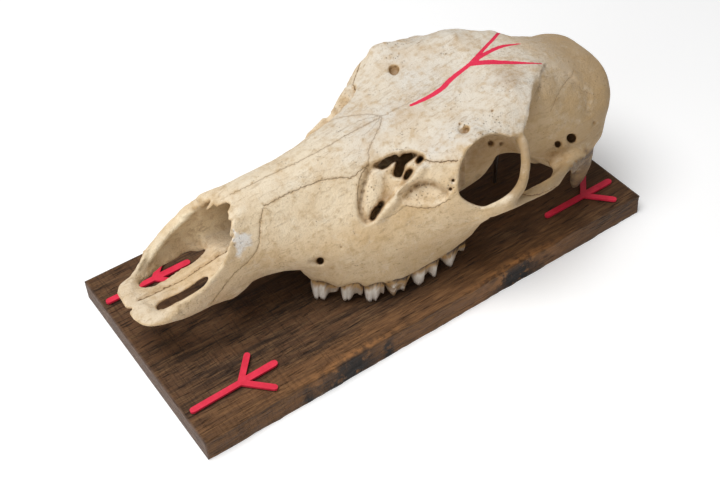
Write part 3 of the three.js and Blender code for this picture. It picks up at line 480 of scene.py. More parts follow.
# The grid, and the value that a place far outside the bone starts with.
PITCH = 1.1
GRID_LOW = np.array([-202.5, -90.0, 0.5])
GRID_HIGH = np.array([200.5, 90.0, 135.5])
AXES = [np.arange(low, high, PITCH, dtype=np.float32) for low, high in zip(GRID_LOW, GRID_HIGH)]
GRID_SHAPE = np.array([len(axis) for axis in AXES])
FAR = 12.0
MOST_TRIANGLES = 190000
# How far past a shape its part of the grid reaches.
SECTION_MARGIN = 6.0
ELLIPSOID_MARGIN = 5
MARGIN = 4
# Where the search for the bone along a pixel's ray starts and ends, and its steps.
RAY_FROM = 560
RAY_TO = 1150
RAY_STEP = 0.4


# Fields on the grid: each value is about the distance to the surface, negative inside the bone

def soft_min(a, b, soft):
    """The lower of two values, rounded off where they are nearly the same."""
    if soft <= 0:
        return np.minimum(a, b)
    mix = np.clip(0.5 + 0.5 * (b - a) / soft, 0, 1)
    return b + (a - b) * mix - soft * mix * (1 - mix)


def soft_max(a, b, soft):
    return -soft_min(-a, -b, soft)


def spread(place):
    """The places along each axis of a part of the grid, shaped to be combined."""
    x, y, h = (axis[part] for axis, part in zip(AXES, place))
    return x[:, None, None], y[None, :, None], h[None, None, :]


def window(low, high):
    """The part of the grid between two corners, and its places along each axis."""
    place = tuple(slice(int(np.searchsorted(axis, a)), int(np.searchsorted(axis, b)))
                  for axis, a, b in zip(AXES, low, high))
    return place, *spread(place)


def nearest_cells(points):
    return np.round((points - GRID_LOW) / PITCH).astype(int)


def inner_cells(points):
    """The nearest cells, none of them past the grid's ends, as an index."""
    return tuple(np.clip(nearest_cells(points), 0, GRID_SHAPE - 1).T)


def add(field, place, values, soft=2.0):
    field[place] = soft_min(field[place], values, soft)


def take(field, place, values, soft=1.0):
    field[place] = soft_max(field[place], -values, soft)


def curve_point(before, start, end, beyond, t):
    """The point a share t of the way from start to end on a smooth curve through all four."""
    return 0.5 * (2 * start + (end - before) * t
                  + (2 * before - 5 * start + 4 * end - beyond) * t ** 2
                  + (3 * start - before - 3 * end + beyond) * t ** 3)


def smooth_ring(points, steps):
    """A closed line with more points, curved through the given ones."""
    before, after, beyond = (np.roll(points, shift, 0) for shift in (1, -1, -2))
    pieces = [curve_point(before, points, after, beyond, step / steps) for step in range(steps)]
    return np.stack(pieces, 1).reshape(-1, points.shape[1])


def spline(points, steps):
    """An open line with more points, curved through the given ones."""
    points = np.asarray(points, float)
    padded = np.concatenate([[2 * points[0] - points[1]], points, [2 * points[-1] - points[-2]]])
    found = []
    for four in zip(padded, padded[1:], padded[2:], padded[3:]):
        found += [curve_point(*four, step / steps) for step in range(steps)]
    return np.array([*found, points[-1]])


def outline_distance(outline, first, second):
    """Signed distance in a plane from points, given as two arrays, to a closed outline; negative inside."""
    outline = np.asarray(outline, np.float32)
    edge = np.roll(outline, -1, 0) - outline
    from_y = first[..., None] - outline[:, 0]
    from_h = second[..., None] - outline[:, 1]
    length = np.maximum((edge ** 2).sum(1), 1e-9)
    along = np.clip((from_y * edge[:, 0] + from_h * edge[:, 1]) / length, 0, 1)
    squared = (from_y - along * edge[:, 0]) ** 2 + (from_h - along * edge[:, 1]) ** 2
    crosses = (from_h < 0) != (from_h < edge[:, 1])
    rise = np.where(edge[:, 1] == 0, 1e-9, edge[:, 1])
    left = from_y < edge[:, 0] * from_h / rise
    inside = (crosses & left).sum(-1) % 2 == 1
    return np.sqrt(squared.min(-1)) * np.where(inside, -1, 1)


def between(places, values, x):
    """Values at x on a smooth curve through the stations, which never swings past them."""
    places = np.asarray(places, float)
    gaps = np.diff(places)
    slopes = np.diff(values, axis=0) / gaps[:, None, None]
    tangents = np.zeros_like(values)
    before, after = slopes[:-1], slopes[1:]
    w1 = (2 * gaps[1:] + gaps[:-1])[:, None, None]
    w2 = (gaps[1:] + 2 * gaps[:-1])[:, None, None]
    same = before * after > 0
    safe_before = np.where(same, before, 1)
    safe_after = np.where(same, after, 1)
    tangents[1:-1] = np.where(same, (w1 + w2) / (w1 / safe_before + w2 / safe_after), 0)
    tangents[0], tangents[-1] = slopes[0], slopes[-1]
    k = int(np.clip(np.searchsorted(places, x) - 1, 0, len(gaps) - 1))
    t = float(np.clip((x - places[k]) / gaps[k], 0, 1))
    blend = t * t * (3 - 2 * t)
    return (values[k] * (1 - blend) + values[k + 1] * blend
            + gaps[k] * (t * (1 - t) ** 2 * tangents[k] - t * t * (1 - t) * tangents[k + 1]))


def full_ring(half, lean):
    """A closed section from its right half, whose top climbs to the left by the lean."""
    right = np.asarray(half, float)
    left = right[1:-1][::-1] * [-1, 1]
    ring = np.concatenate([right, left])
    near_top = np.clip((ring[:, 1] - LEAN_FROM) / (LEAN_FULL - LEAN_FROM), 0, 1)
    ring[:, 1] -= lean * near_top * ring[:, 0]
    return ring


def sections(stations, leaning=False, round_end=3.0):
    """The field of a body given by half sections along the skull."""
    places = [x for x, _ in stations]
    lean = [float(np.interp(x, LEAN_PLACES, LEAN_VALUES)) if leaning else 0.0 for x in places]
    rings = np.array([full_ring(half, amount) for (_, half), amount in zip(stations, lean)])
    reach = SECTION_MARGIN
    low = [places[0] - reach, rings[..., 0].min() - reach, rings[..., 1].min() - reach]
    high = [places[-1] + reach, rings[..., 0].max() + reach, rings[..., 1].max() + reach]
    place, x, y, h = window(low, high)
    values = np.full((x.shape[0], y.shape[1], h.shape[2]), FAR, np.float32)
    ys, hs = y.ravel(), h.ravel()
    for index, along in enumerate(x.ravel()):
        ring = smooth_ring(between(places, rings, along), 3)
        first_y, last_y = np.searchsorted(ys, [ring[:, 0].min() - reach, ring[:, 0].max() + reach])
        first_h, last_h = np.searchsorted(hs, [ring[:, 1].min() - reach, ring[:, 1].max() + reach])
        grid = np.meshgrid(ys[first_y:last_y], hs[first_h:last_h], indexing="ij")
        flat = outline_distance(ring, *grid)
        past_end = max(places[0] - along, along - places[-1])
        values[index, first_y:last_y, first_h:last_h] = soft_max(flat, past_end, round_end)
    return place, values


def ellipsoid(shape, side):
    """An ellipsoid whose long way is tilted up or down, on the right side or mirrored."""
    centre = np.array(shape["at"], float) * [1, side, 1]
    radii = np.array(shape["radii"], float)
    reach = radii.max() + ELLIPSOID_MARGIN
    place, x, y, h = window(centre - reach, centre + reach)
    tilt = math.radians(shape["tilt"])
    dx, dy, dh = x - centre[0], y - centre[1], h - centre[2]
    along = dx * math.cos(tilt) - dh * math.sin(tilt)
    upward = dx * math.sin(tilt) + dh * math.cos(tilt)
    inner, outer = (
        np.sqrt((along / radii[0] ** power) ** 2 + (dy / radii[1] ** power) ** 2
                + (upward / radii[2] ** power) ** 2)
        for power in (1, 2)
    )
    return place, inner * (inner - 1) / np.maximum(outer, 1e-4)


def cylinder(start, direction, radius, depth):
    """A round hole from a point into the bone, with a rounded end."""
    start, direction = np.array(start, float), np.array(direction, float)
    direction /= np.linalg.norm(direction)
    end = start + direction * depth
    reach = radius + MARGIN
    place, x, y, h = window(np.minimum(start, end) - reach, np.maximum(start, end) + reach)
    offset = np.stack(np.broadcast_arrays(x - start[0], y - start[1], h - start[2]), -1)
    along = offset @ direction
    away = np.sqrt(np.maximum((offset ** 2).sum(-1) - along ** 2, 0))
    return place, soft_max(away - radius, along - depth, 2.0)


def first_bone(field, pixel):
    """Where the ray through a pixel first meets bone, and the ray's direction, in skull millimetres."""
    start = to_skull(EYE[None])[0]
    ahead = to_skull((EYE + np.array(pixel_ray(pixel)))[None])[0] - start
    ahead /= np.linalg.norm(ahead)
    steps = start + np.arange(RAY_FROM, RAY_TO, RAY_STEP)[:, None] * ahead
    cells = nearest_cells(steps)
    held = ((cells >= 0) & (cells < field.shape)).all(1)
    steps, cells = steps[held], cells[held]
    solid = field[tuple(cells.T)] < 0
    return steps[np.argmax(solid)], ahead


def seen_from_left(place, x, y, h, side):
    """The photograph's pixels of a part of the grid, or of its mirror image for the right side."""
    grid = np.stack(np.broadcast_arrays(x, -side * y, h), -1)
    pixels = to_pixels(grid.reshape(-1, 3)).reshape(grid.shape[:3] + (2,))
    return pixels[..., 0].astype(np.float32), pixels[..., 1].astype(np.float32)


def oval_bar(points, side, upright):
    """A bar along a line of points, with an oval section whose thickness is measured the upright way."""
    line = spline(np.array(points, float) * [1, side, 1, 1, 1], 4)
    centres = line[:, :3]
    reach = line[:, 3:].max() + MARGIN
    place, x, y, h = window(centres.min(0) - reach, centres.max(0) + reach)
    grid = np.stack(np.broadcast_arrays(x, y, h), -1).astype(np.float32)
    best = np.full(grid.shape[:3], 1e9, np.float32)
    values = np.full(grid.shape[:3], FAR, np.float32)
    for start, end in zip(line, line[1:]):
        along = end[:3] - start[:3]
        length = np.linalg.norm(along)
        along = along / length
        across = np.array(upright, float) - along * np.dot(upright, along)
        across /= np.linalg.norm(across)
        third = np.cross(along, across)
        offset = grid - start[:3].astype(np.float32)
        t = np.clip(offset @ along.astype(np.float32) / length, 0, 1)
        offset = offset - t[..., None] * (along * length).astype(np.float32)
        away = (offset ** 2).sum(-1)
        half_height = start[3] + (end[3] - start[3]) * t
        half_thickness = start[4] + (end[4] - start[4]) * t
        u = offset @ third.astype(np.float32)
        v = offset @ across.astype(np.float32)
        w = offset @ along.astype(np.float32)
        small = np.minimum(half_height, half_thickness)
        inner = np.sqrt((u / half_height) ** 2 + (v / half_thickness) ** 2 + (w / small) ** 2)
        shape = (inner - 1) * small
        closer = away < best
        values = np.where(closer, shape, values)
        best = np.where(closer, away, best)
    return place, values


def prism(outline, low, high):
    """An upright prism over an outline given as along and out."""
    outline = smooth_ring(np.array(outline, float), 4)
    corner_low = np.array([*outline.min(0), low]) - MARGIN
    corner_high = np.array([*outline.max(0), high]) + MARGIN
    place, x, y, h = window(corner_low, corner_high)
    flat = outline_distance(outline, *np.meshgrid(x.ravel(), y.ravel(), indexing="ij"))[:, :, None]
    return place, soft_max(flat, np.maximum(low - h, h - high), 1.0)


def nose_opening():
    """The open channel of the nose, which ends at the broken tips of the nasal bones."""
    stations = [(along, [[0, OPEN_TOP], [width, OPEN_TOP], *rest]) for along, width, rest in NOSE_CHANNEL]
    place, values = sections(stations)
    x, y, h = spread(place)
    grid_y, grid_h = np.meshgrid(y.ravel(), h.ravel(), indexing="ij")
    ragged = 1.1 * flat_noise(grid_y, grid_h, 2.6, 4.4)
    ends = np.interp(grid_y, *np.array(NASAL_TIPS).T) + ragged
    return place, np.maximum(values, x - ends[None])


def lower_rims(field):
    """The nose's rim: lower on the left than on the right, and flat at the tip."""
    for side, rim_line in ((-1, NEAR_RIM), (1, FAR_RIM)):
        rim_end = rim_line[-1][0]
        place, x, y, h = side_window([-203, 11, 36], [rim_end, 36, 112], side)
        slope = np.interp(x, [-188, -178], [-0.12, NEAR_RIM_SLOPE])
        rim = np.interp(x, *np.array(rim_line).T) + slope * (side * y - NEAR_RIM_AT)
        floor = np.interp(x, [-196, -184], [44.2, 41.5])
        take(field, place, np.maximum(rim, floor) - h, soft=0.8)
    place, x, y, h = window([-203, -36, 30], [-160, 36, 66])
    u, v = seen_from_left(place, x, y, h, -1)
    ragged = 0.9 * flat_noise(u, v, 3.2, 6.1)
    edge = (outline_distance(TIP_OUTLINE, u, v) + ragged) * PIXEL
    field[place] = np.maximum(field[place], edge - np.interp(x, [-174, -162], [0, 4]))


def trim_gum(field, side):
    """The bone over the teeth: a wavy lower edge, rounded in towards them."""
    place, x, y, h = side_window([-84, 16, 0], [60, 84, 42], side)
    edge = np.interp(x, *np.array(GUM_EDGE).T)
    row_x, row_y = np.array(TOOTH_ROW, float).T
    row = np.interp(x, row_x, row_y)
    turn = np.interp(x, (row_x[1:] + row_x[:-1]) / 2, np.diff(row_y) / np.diff(row_x))
    outwards = (side * y - row) / np.hypot(1, turn)
    above = h - edge
    rounded = 0.8 * (outwards - 1.2 - 0.8 * above)
    field[place] = soft_max(field[place], np.maximum(-above, rounded), 1.2)


def side_window(low, high, side):
    """A part of the grid given for the right side, or its mirror image on the left."""
    low, high = np.array(low, float), np.array(high, float)
    if side < 0:
        low[1], high[1] = -high[1], -low[1]
    return window(low, high)


def from_rim(outline, u, v, ragged=0):
    """Signed millimetres from an outline of pixels whose corners are rounded; negative inside."""
    return (outline_distance(smooth_ring(np.array(outline), 2), u, v) + ragged) * PIXEL


def orbit_hollow(side):
    """The orbit's hollow, whose edge follows the rim at the surface and eases away from it inside."""
    place, values = ellipsoid(ORBIT, side)
    x, y, h = spread(place)
    rim = from_rim(ORBIT_RIM, *seen_from_left(place, x, y, h, side))
    inwards = np.clip(56 - side * y, 0, 60)
    return place, soft_max(values, rim - 0.4 * inwards, 1.0)


def open_through(field, outline, low, high, side):
    """Clears the bone in the way of an opening that the photograph looks right through."""
    place, x, y, h = side_window(low, high, side)
    take(field, place, from_rim(outline, *seen_from_left(place, x, y, h, side)), soft=1.0)


def gap_depth(u, v):
    """How deep the open stretch in front of the orbit is, by pixel."""
    ragged = 1.3 * flat_noise(u, v, 3.2, 2.7)
    rim = (outline_distance(FACIAL_GAP, u, v) + ragged) * PIXEL
    depth = GAP_DEPTH * np.clip(0.5 - rim / 1.4, 0, 1)
    centre_u, centre_v = BLADE["pixel"]
    down = v - centre_v
    across = (u - centre_u + BLADE["lean"] * down) / BLADE["half_width"]
    blade = np.sqrt(np.clip(1 - across ** 2 - (down / BLADE["half_length"]) ** 2, 0, 1))
    depth = depth - BLADE["rise"] * blade * falling(rim, 0, 1.5)
    for opening in GAP_OPENINGS:
        edge = from_rim(opening, u, v, ragged)
        depth = depth + GAP_OPENING_DEPTH * np.clip(0.45 - edge / 1.2, 0, 1)
    return depth


def pit_depth(u, v):
    """The lacrimal pit: steep under the bar above it and running out below."""
    inside = falling(from_rim(LACRIMAL_PIT, u, v), 0, 1.6)
    return PIT_DEPTH * inside * falling(v, 207, 24) ** 0.8


def bar_rise(u, v):
    """The rounded lacrimal bar between the gap and the pit."""
    start, end = np.array(LACRIMAL_BAR["from"]), np.array(LACRIMAL_BAR["to"])
    along = (end - start) / np.linalg.norm(end - start)
    t = (u - start[0]) * along[0] + (v - start[1]) * along[1]
    away = (u - start[0]) * along[1] - (v - start[1]) * along[0]
    ends = rising(t, -3, 5) * falling(t, 78, 10)
    return LACRIMAL_BAR["rise"] * np.sqrt(np.clip(1 - (away / LACRIMAL_BAR["half_width"]) ** 2, 0, 1)) * ends


def carve_side(field, side):
    """Relief on the side of the face, in front of the orbit."""
    place, x, y, h = side_window([-52, 26, 52], [40, 78, 124], side)
    u, v = seen_from_left(place, x, y, h, side)
    field[place] += gap_depth(u, v) + pit_depth(u, v) - bar_rise(u, v)


def bone_before_openings():
    """The face and the cranium with their bars, bosses, orbits and the openings at the sides."""
    field = np.full(GRID_SHAPE, FAR, np.float32)
    add(field, *sections(FACE), soft=0)
    for side in (1, -1):
        add(field, *oval_bar(MAXILLA_FOOT, side, OUTWARDS), soft=2)
        take(field, *orbit_hollow(side), soft=1.5)
        take(field, *ellipsoid(TUBEROSITY_HOLLOW, side), soft=4)
    add(field, *sections(CRANIUM, leaning=True), soft=1.2)
    for side in (1, -1):
        for points, upright, soft in BARS:
            add(field, *oval_bar(points, side, upright), soft=soft)
        add(field, *ellipsoid(CONDYLE, side), soft=3)
        add(field, *ellipsoid(BULLA, side), soft=4)
        for outline, low, high in SIDE_OPENINGS:
            open_through(field, outline, low, high, side)
    return field


def skull_field():
    """The whole bone, with the relief of its sides, the nose, the gums and the small holes."""
    field = bone_before_openings()
    for side in (1, -1):
        carve_side(field, side)
    found = [first_bone(field, hole[:2]) for hole in HOLES]
    lower_rims(field)
    take(field, *nose_opening(), soft=0.8)
    take(field, *sections(NOSE_CAVITY), soft=0.8)
    add(field, *oval_bar(NOSE_SHELF, 1, OUTWARDS), soft=1.0)
    add(field, *oval_bar(THICK_RIM, 1, OUTWARDS), soft=1.2)
    for side in (1, -1):
        trim_gum(field, side)
    take(field, *cylinder(**FORAMEN_MAGNUM), soft=3)
    take(field, *prism(INCISIVE_RIGHT, *INCISIVE_HEIGHTS), soft=1)
    for outline, low, high in NOSE_OPENINGS:
        open_through(field, outline, low, high, -1)
    for (start, ahead), (_, _, radius, depth, both) in zip(found, HOLES):
        for side in (1, -1) if both else (1,):
            flip = np.array([1, side, 1])
            entry = (start - ahead * HOLE_LEAD) * flip
            take(field, *cylinder(entry, ahead * flip, radius, depth + HOLE_LEAD), soft=0.6)
    return field


def blurred(field):
    """The field with its sharpest edges eased by about one cell."""
    for axis in range(3):
        ahead = np.roll(field, 1, axis)
        behind = np.roll(field, -1, axis)
        field = 0.5 * field + 0.25 * (ahead + behind)
    return field


def surface(field):
    """The mesh where the field is zero: one vertex in each cell that the surface crosses."""
    inside = field < 0
    size = np.array(field.shape) - 1
    sums = np.zeros((*size, 3), np.float32)
    counts = np.zeros(size, np.int32)
    corners = [(a, b, c) for a in (0, 1) for b in (0, 1) for c in (0, 1)]
    for corner in corners:
        for axis in range(3):
            if corner[axis]:
                continue
            other = list(corner)
            other[axis] = 1
            first = tuple(slice(c, c + n) for c, n in zip(corner, size))
            second = tuple(slice(c, c + n) for c, n in zip(other, size))
            crossed = inside[first] != inside[second]
            a, b = field[first][crossed], field[second][crossed]
            t = a / (a - b)
            point = np.tile(np.array(corner, np.float32), (len(t), 1))
            point[:, axis] = t
            sums[crossed] += point
            counts[crossed] += 1
    cells = np.argwhere(counts > 0)
    number = np.full(size, -1, np.int64)
    number[tuple(cells.T)] = np.arange(len(cells))
    points = (sums[tuple(cells.T)] / counts[tuple(cells.T)][:, None] + cells) * PITCH
    points += GRID_LOW
    quads = []
    for axis in range(3):
        u, v = (axis + 1) % 3, (axis + 2) % 3
        first = [slice(1, n) for n in size]
        first[axis] = slice(0, size[axis])
        second = list(first)
        second[axis] = slice(1, size[axis] + 1)
        start, end = inside[tuple(first)], inside[tuple(second)]
        for leaving in (True, False):
            edges = np.argwhere((start != end) & (start == leaving))
            base = edges + [0 if k == axis else 1 for k in range(3)]
            ring = []
            for du, dv in ((0, 0), (-1, 0), (-1, -1), (0, -1)):
                cell = base.copy()
                cell[:, u] += du
                cell[:, v] += dv
                ring.append(number[tuple(cell.T)])
            ring = np.stack(ring, -1)
            quads.append(ring if leaving else ring[:, ::-1])
    quads = np.concatenate(quads)
    return points, np.concatenate([quads[:, [0, 1, 2]], quads[:, [0, 2, 3]]])


def crowding(field, reach):
    """How much bone there is round each place of the grid, from 0 to 1, in a box of twice the reach."""
    share = (field < 0).astype(np.float32)
    cells = max(1, int(round(reach / PITCH)))
    for axis in range(3):
        padding = [(cells + 1, cells) if k == axis else (0, 0) for k in range(3)]
        total = np.cumsum(np.pad(share, padding), axis=axis, dtype=np.float64)
        width = share.shape[axis]
        high = np.take(total, range(2 * cells + 1, 2 * cells + 1 + width), axis)
        low = np.take(total, range(width), axis)
        share = ((high - low) / (2 * cells + 1)).astype(np.float32)
    return share


def at_points(values, points):
    """A grid's values at the cells nearest to some points."""
    return values[inner_cells(points)]


# Mesh helpers

def neighbours(count, faces):
    """The edges of a mesh, each once, and how many of them meet at each point."""
    edges = np.concatenate([faces[:, [0, 1]], faces[:, [1, 2]], faces[:, [2, 0]]])
    edges = np.unique(np.sort(edges, axis=1), axis=0)
    degree = np.bincount(edges.ravel(), minlength=count)
    return edges, np.maximum(degree, 1)


def averaged(values, edges, degree):
    """Each point's value as the mean of its neighbours' values."""
    flat = values.reshape(len(degree), -1)
    out = np.empty_like(flat)
    for column in range(flat.shape[1]):
        found = np.bincount(edges[:, 0], flat[edges[:, 1], column], len(degree))
        found += np.bincount(edges[:, 1], flat[edges[:, 0], column], len(degree))
        out[:, column] = found / degree
    return out.reshape(values.shape)


def eased(points, edges, degree, rounds):
    """Points with their finest roughness gone and their volume kept."""
    for _ in range(rounds):
        for amount in (0.5, -0.52):
            points = points + amount * (averaged(points, edges, degree) - points)
    return points


def point_normals(points, faces):
    """The way that the surface faces at each point."""
    first, second, third = (points[faces[:, k]] for k in range(3))
    flat = np.cross(second - first, third - first)
    normals = np.zeros_like(points)
    for corner in range(3):
        for axis in range(3):
            normals[:, axis] += np.bincount(faces[:, corner], flat[:, axis], len(points))
    return normals / np.maximum(np.linalg.norm(normals, axis=1, keepdims=True), 1e-9)


def plain(rows):
    """An array's rows as tuples of ordinary numbers."""
    return [tuple(row) for row in np.asarray(rows).tolist()]


def new_mesh(name, points, faces):
    mesh = bpy.data.meshes.new(name)
    mesh.from_pydata(plain(points), [], plain(faces))
    mesh.update()
    return mesh


def thinned(points, faces, most, spared):
    """The same surface with at most so many triangles, the fewest where it is flat and not spared."""
    if len(faces) <= most:
        return points, faces
    mesh = new_mesh("dense", points, faces)
    holder = bpy.data.objects.new("dense", mesh)
    bpy.context.scene.collection.objects.link(holder)
    free = holder.vertex_groups.new(name="free")
    free.add(np.flatnonzero(~spared).tolist(), 1.0, "REPLACE")
    thin = holder.modifiers.new("thin", "DECIMATE")
    thin.ratio = most / len(faces)
    thin.vertex_group = "free"
    found = holder.evaluated_get(bpy.context.evaluated_depsgraph_get()).to_mesh()
    found.calc_loop_triangles()
    kept = np.array([tuple(vertex.co) for vertex in found.vertices])
    triangles = np.array([tuple(face.vertices) for face in found.loop_triangles])
    bpy.data.objects.remove(holder)
    bpy.data.meshes.remove(mesh)
    return kept, triangles


def main_shell(points, faces):
    """The largest connected piece of a mesh, without the crumbs that hang on nothing."""
    label = np.arange(len(points))
    changed = True
    while changed:
        before = label.copy()
        lowest = label[faces].min(1)
        for corner in range(3):
            np.minimum.at(label, faces[:, corner], lowest)
        label = label[label]
        changed = (label != before).any()
    shell = label[faces[:, 0]]
    kept = faces[shell == np.bincount(shell).argmax()]
    used, renumbered = np.unique(kept, return_inverse=True)
    return points[used], renumbered.reshape(kept.shape)


def make_object(name, points, faces, material, node=None):
    """A piece from row metres that rides on the one body."""
    mesh = new_mesh(name, points, faces)
    mesh.materials.append(material)
    mesh.polygons.foreach_set("use_smooth", [True] * len(mesh.polygons))
    piece = bpy.data.objects.new(name, mesh)
    bpy.context.scene.collection.objects.link(piece)
    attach(piece, "root")
    if node:
        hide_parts(node)
    return piece


def keep_number(piece, name, values):
    layer = piece.data.attributes.new(name, "FLOAT", "POINT")
    layer.data.foreach_set("value", np.asarray(values, np.float32))


def keep_colour(piece, name, values):
    layer = piece.data.attributes.new(name, "FLOAT_COLOR", "POINT")
    colours = np.concatenate([values, np.ones((len(values), 1))], axis=1)
    layer.data.foreach_set("color", colours.astype(np.float32).ravel())


# Materials

class Nodes:
    """Short names for making a material's nodes."""

    def __init__(self, name):
        self.material = bpy.data.materials.new(name)
        self.material.use_nodes = True
        self.tree = self.material.node_tree
        self.shader = self.tree.nodes["Principled BSDF"]
        self.place = self.tree.nodes.new("ShaderNodeTexCoord").outputs["Object"]

    def link(self, source, target):
        if isinstance(source, (int, float, tuple)):
            target.default_value = source
        else:
            self.tree.links.new(source, target)

    def node(self, kind, output, inputs=(), **settings):
        made = self.tree.nodes.new(kind)
        for key, value in settings.items():
            setattr(made, key, value)
        for key, value in dict(inputs).items():
            self.link(value, made.inputs[key])
        return made.outputs[output]

    def number(self, name):
        return self.node("ShaderNodeAttribute", "Fac", attribute_name=name)

    def colour(self, name):
        return self.node("ShaderNodeAttribute", "Color", attribute_name=name)

    def stretched(self, scale):
        return self.node("ShaderNodeMapping", "Vector", {"Vector": self.place, "Scale": scale})

    def noise(self, scale, detail=3.0, rough=0.55, place=None, distortion=0.0):
        inputs = {"Vector": place or self.place, "Scale": scale, "Detail": detail, "Roughness": rough,
                  "Distortion": distortion}
        return self.node("ShaderNodeTexNoise", "Fac", inputs)

    def spots(self, scale, place=None):
        return self.node("ShaderNodeTexVoronoi", "Distance", {"Vector": place or self.place, "Scale": scale})

    def ramp(self, value, low, high, from_value=0.0, to_value=1.0):
        inputs = {"Value": value, "From Min": low, "From Max": high, "To Min": from_value, "To Max": to_value}
        return self.node("ShaderNodeMapRange", "Result", inputs, interpolation_type="SMOOTHSTEP")

    def maths(self, kind, first, second=0.0):
        return self.node("ShaderNodeMath", "Value", {0: first, 1: second}, operation=kind)

    def plus(self, first, second):
        return self.maths("ADD", first, second)

    def minus(self, first, second):
        return self.maths("SUBTRACT", first, second)

    def times(self, first, second):
        return self.maths("MULTIPLY", first, second)

    def total(self, first, *others):
        """The sum of some values, each times its weight."""
        result = self.times(*first)
        for part in others:
            result = self.plus(result, self.times(*part))
        return result

    def mix(self, share, first, second):
        """From the first colour to the second, by the numbers that the mix node's colour inputs have."""
        made = self.tree.nodes.new("ShaderNodeMix")
        made.data_type = "RGBA"
        for index, value in {0: share, 6: first, 7: second}.items():
            self.link(value, made.inputs[index])
        return made.outputs[2]

    def layered(self, colour, layers):
        """A colour with others laid over it in turn, each by its own share."""
        for share, tint in layers:
            colour = self.mix(share, colour, (*tint, 1) if isinstance(tint, tuple) else tint)
        return colour

    def finish(self, colour, rough, height=None, strength=0.3, distance=0.001, **sockets):
        self.link(colour, self.shader.inputs["Base Color"])
        self.link(rough, self.shader.inputs["Roughness"])
        for name, value in sockets.items():
            self.shader.inputs[name.replace("_", " ")].default_value = value
        if height is not None:
            inputs = {"Height": height, "Strength": strength, "Distance": distance}
            self.link(self.node("ShaderNodeBump", "Normal", inputs), self.shader.inputs["Normal"])
        return self.material


def bone_material():
    """Mottled bone with pores, dark sutures, grime, painted shade in its crowded places, orbits and creases,
    and the painted sign.
    """
    n = Nodes("bone")
    fine = n.noise(900, 4, 0.65)
    middle = n.noise(170, 5, 0.65)
    broad = n.noise(42, 5, 0.62)
    chalk = n.noise(80, 6, 0.75)
    along = n.noise(1.0, 5, 0.65, n.stretched((60, 420, 420)), 0.6)
    holes = n.ramp(n.spots(430), 0.1, 0.24, 1.0, 0.0)
    patches = n.ramp(n.noise(55, 3), 0.52, 0.62)
    pores = n.times(holes, n.maths("MAXIMUM", n.times(patches, 0.35), n.number("porous")))
    wiggle = n.minus(n.noise(420, 3), 0.5)
    line = n.maths("ABSOLUTE", n.plus(n.number("seam"), n.times(wiggle, 3.2)))
    dark = n.times(n.ramp(line, 0.05, 0.5, 1.0, 0.0), n.number("seam_on"))
    tinge = n.times(n.ramp(line, 0.2, 2.4, 0.45, 0.0), n.number("seam_on"))
    # Grime and painted shade together, with some mottling.
    dirt_and_shade = n.plus(n.number("dirt_and_shade"), n.times(n.minus(middle, 0.5), 0.5))
    paint_edge = n.plus(n.number("paint"), n.times(wiggle, 0.7))
    # The bone's colour by place, with painted shade and painted light laid into it.
    colour = n.layered(n.colour("tone_and_shade"), [
        (n.ramp(broad, 0.4, 0.72, 0.0, 0.42), (0.56, 0.36, 0.16)),
        (n.ramp(middle, 0.47, 0.7, 0.0, 0.5), (0.5, 0.33, 0.15)),
        (n.ramp(chalk, 0.5, 0.75, 0.0, 0.3), (0.84, 0.8, 0.7)),
        (n.ramp(along, 0.52, 0.7, 0.0, 0.42), (0.36, 0.23, 0.11)),
        (n.ramp(fine, 0.5, 0.72, 0.0, 0.22), (0.4, 0.27, 0.14)),
        (n.times(pores, 0.85), (0.13, 0.07, 0.03)),
        (tinge, (0.46, 0.27, 0.1)),
        (dark, (0.17, 0.085, 0.03)),
        # Brown, then nearly black: grime on the bone, and painted shade in its crowded places and orbits.
        (n.ramp(dirt_and_shade, 0.15, 0.6, 0.0, 0.6), (0.4, 0.235, 0.09)),
        (n.ramp(dirt_and_shade, 0.5, 1.0, 0.0, 0.85), (0.1, 0.055, 0.025)),
        # Painted shade in concave creases.
        (n.ramp(n.number("hollow"), 0.15, 0.9, 0.0, 0.6), (0.24, 0.135, 0.055)),
        (n.ramp(paint_edge, -0.15, 0.15, 1.0, 0.0), (0.78, 0.03, 0.085)),
    ])
    height = n.total((middle, 0.8), (fine, 0.35), (along, 0.3), (pores, -1.2), (dark, -0.6))
    rough = n.ramp(fine, 0.3, 0.7, 0.5, 0.7)
    return n.finish(colour, rough, height, 0.9, 0.0015, Specular_IOR_Level=0.3)


def tooth_material():
    """Streaked enamel, brown in the grooves, at the gum and on the worn side, with painted shade, nearly
    black, where it goes up into the bone.
    """
    n = Nodes("tooth")
    streaks = n.noise(1.0, 4, 0.6, n.stretched((420, 420, 90)))
    stained = n.times(n.number("stain"), n.ramp(n.noise(260, 4), 0.3, 0.6))
    gum = n.times(n.number("gum"), n.ramp(n.noise(300, 3), 0.2, 0.5, 0.6, 1.0))
    colour = n.layered((0.93, 0.87, 0.78, 1), [
        (n.ramp(streaks, 0.4, 0.75, 0.0, 0.7), (0.66, 0.55, 0.43)),
        (n.times(n.number("groove"), 0.75), (0.36, 0.25, 0.15)),
        (n.number("worn"), (0.3, 0.19, 0.1)),
        (stained, (0.36, 0.21, 0.08)),
        (gum, (0.52, 0.31, 0.12)),
        # Painted shade, nearly black, where the tooth goes up into the bone.
        (n.number("gap"), (0.07, 0.04, 0.02)),
    ])
    rough = n.ramp(streaks, 0.3, 0.7, 0.25, 0.5)
    return n.finish(colour, rough, streaks, 0.35, 0.0005, Specular_IOR_Level=0.5)


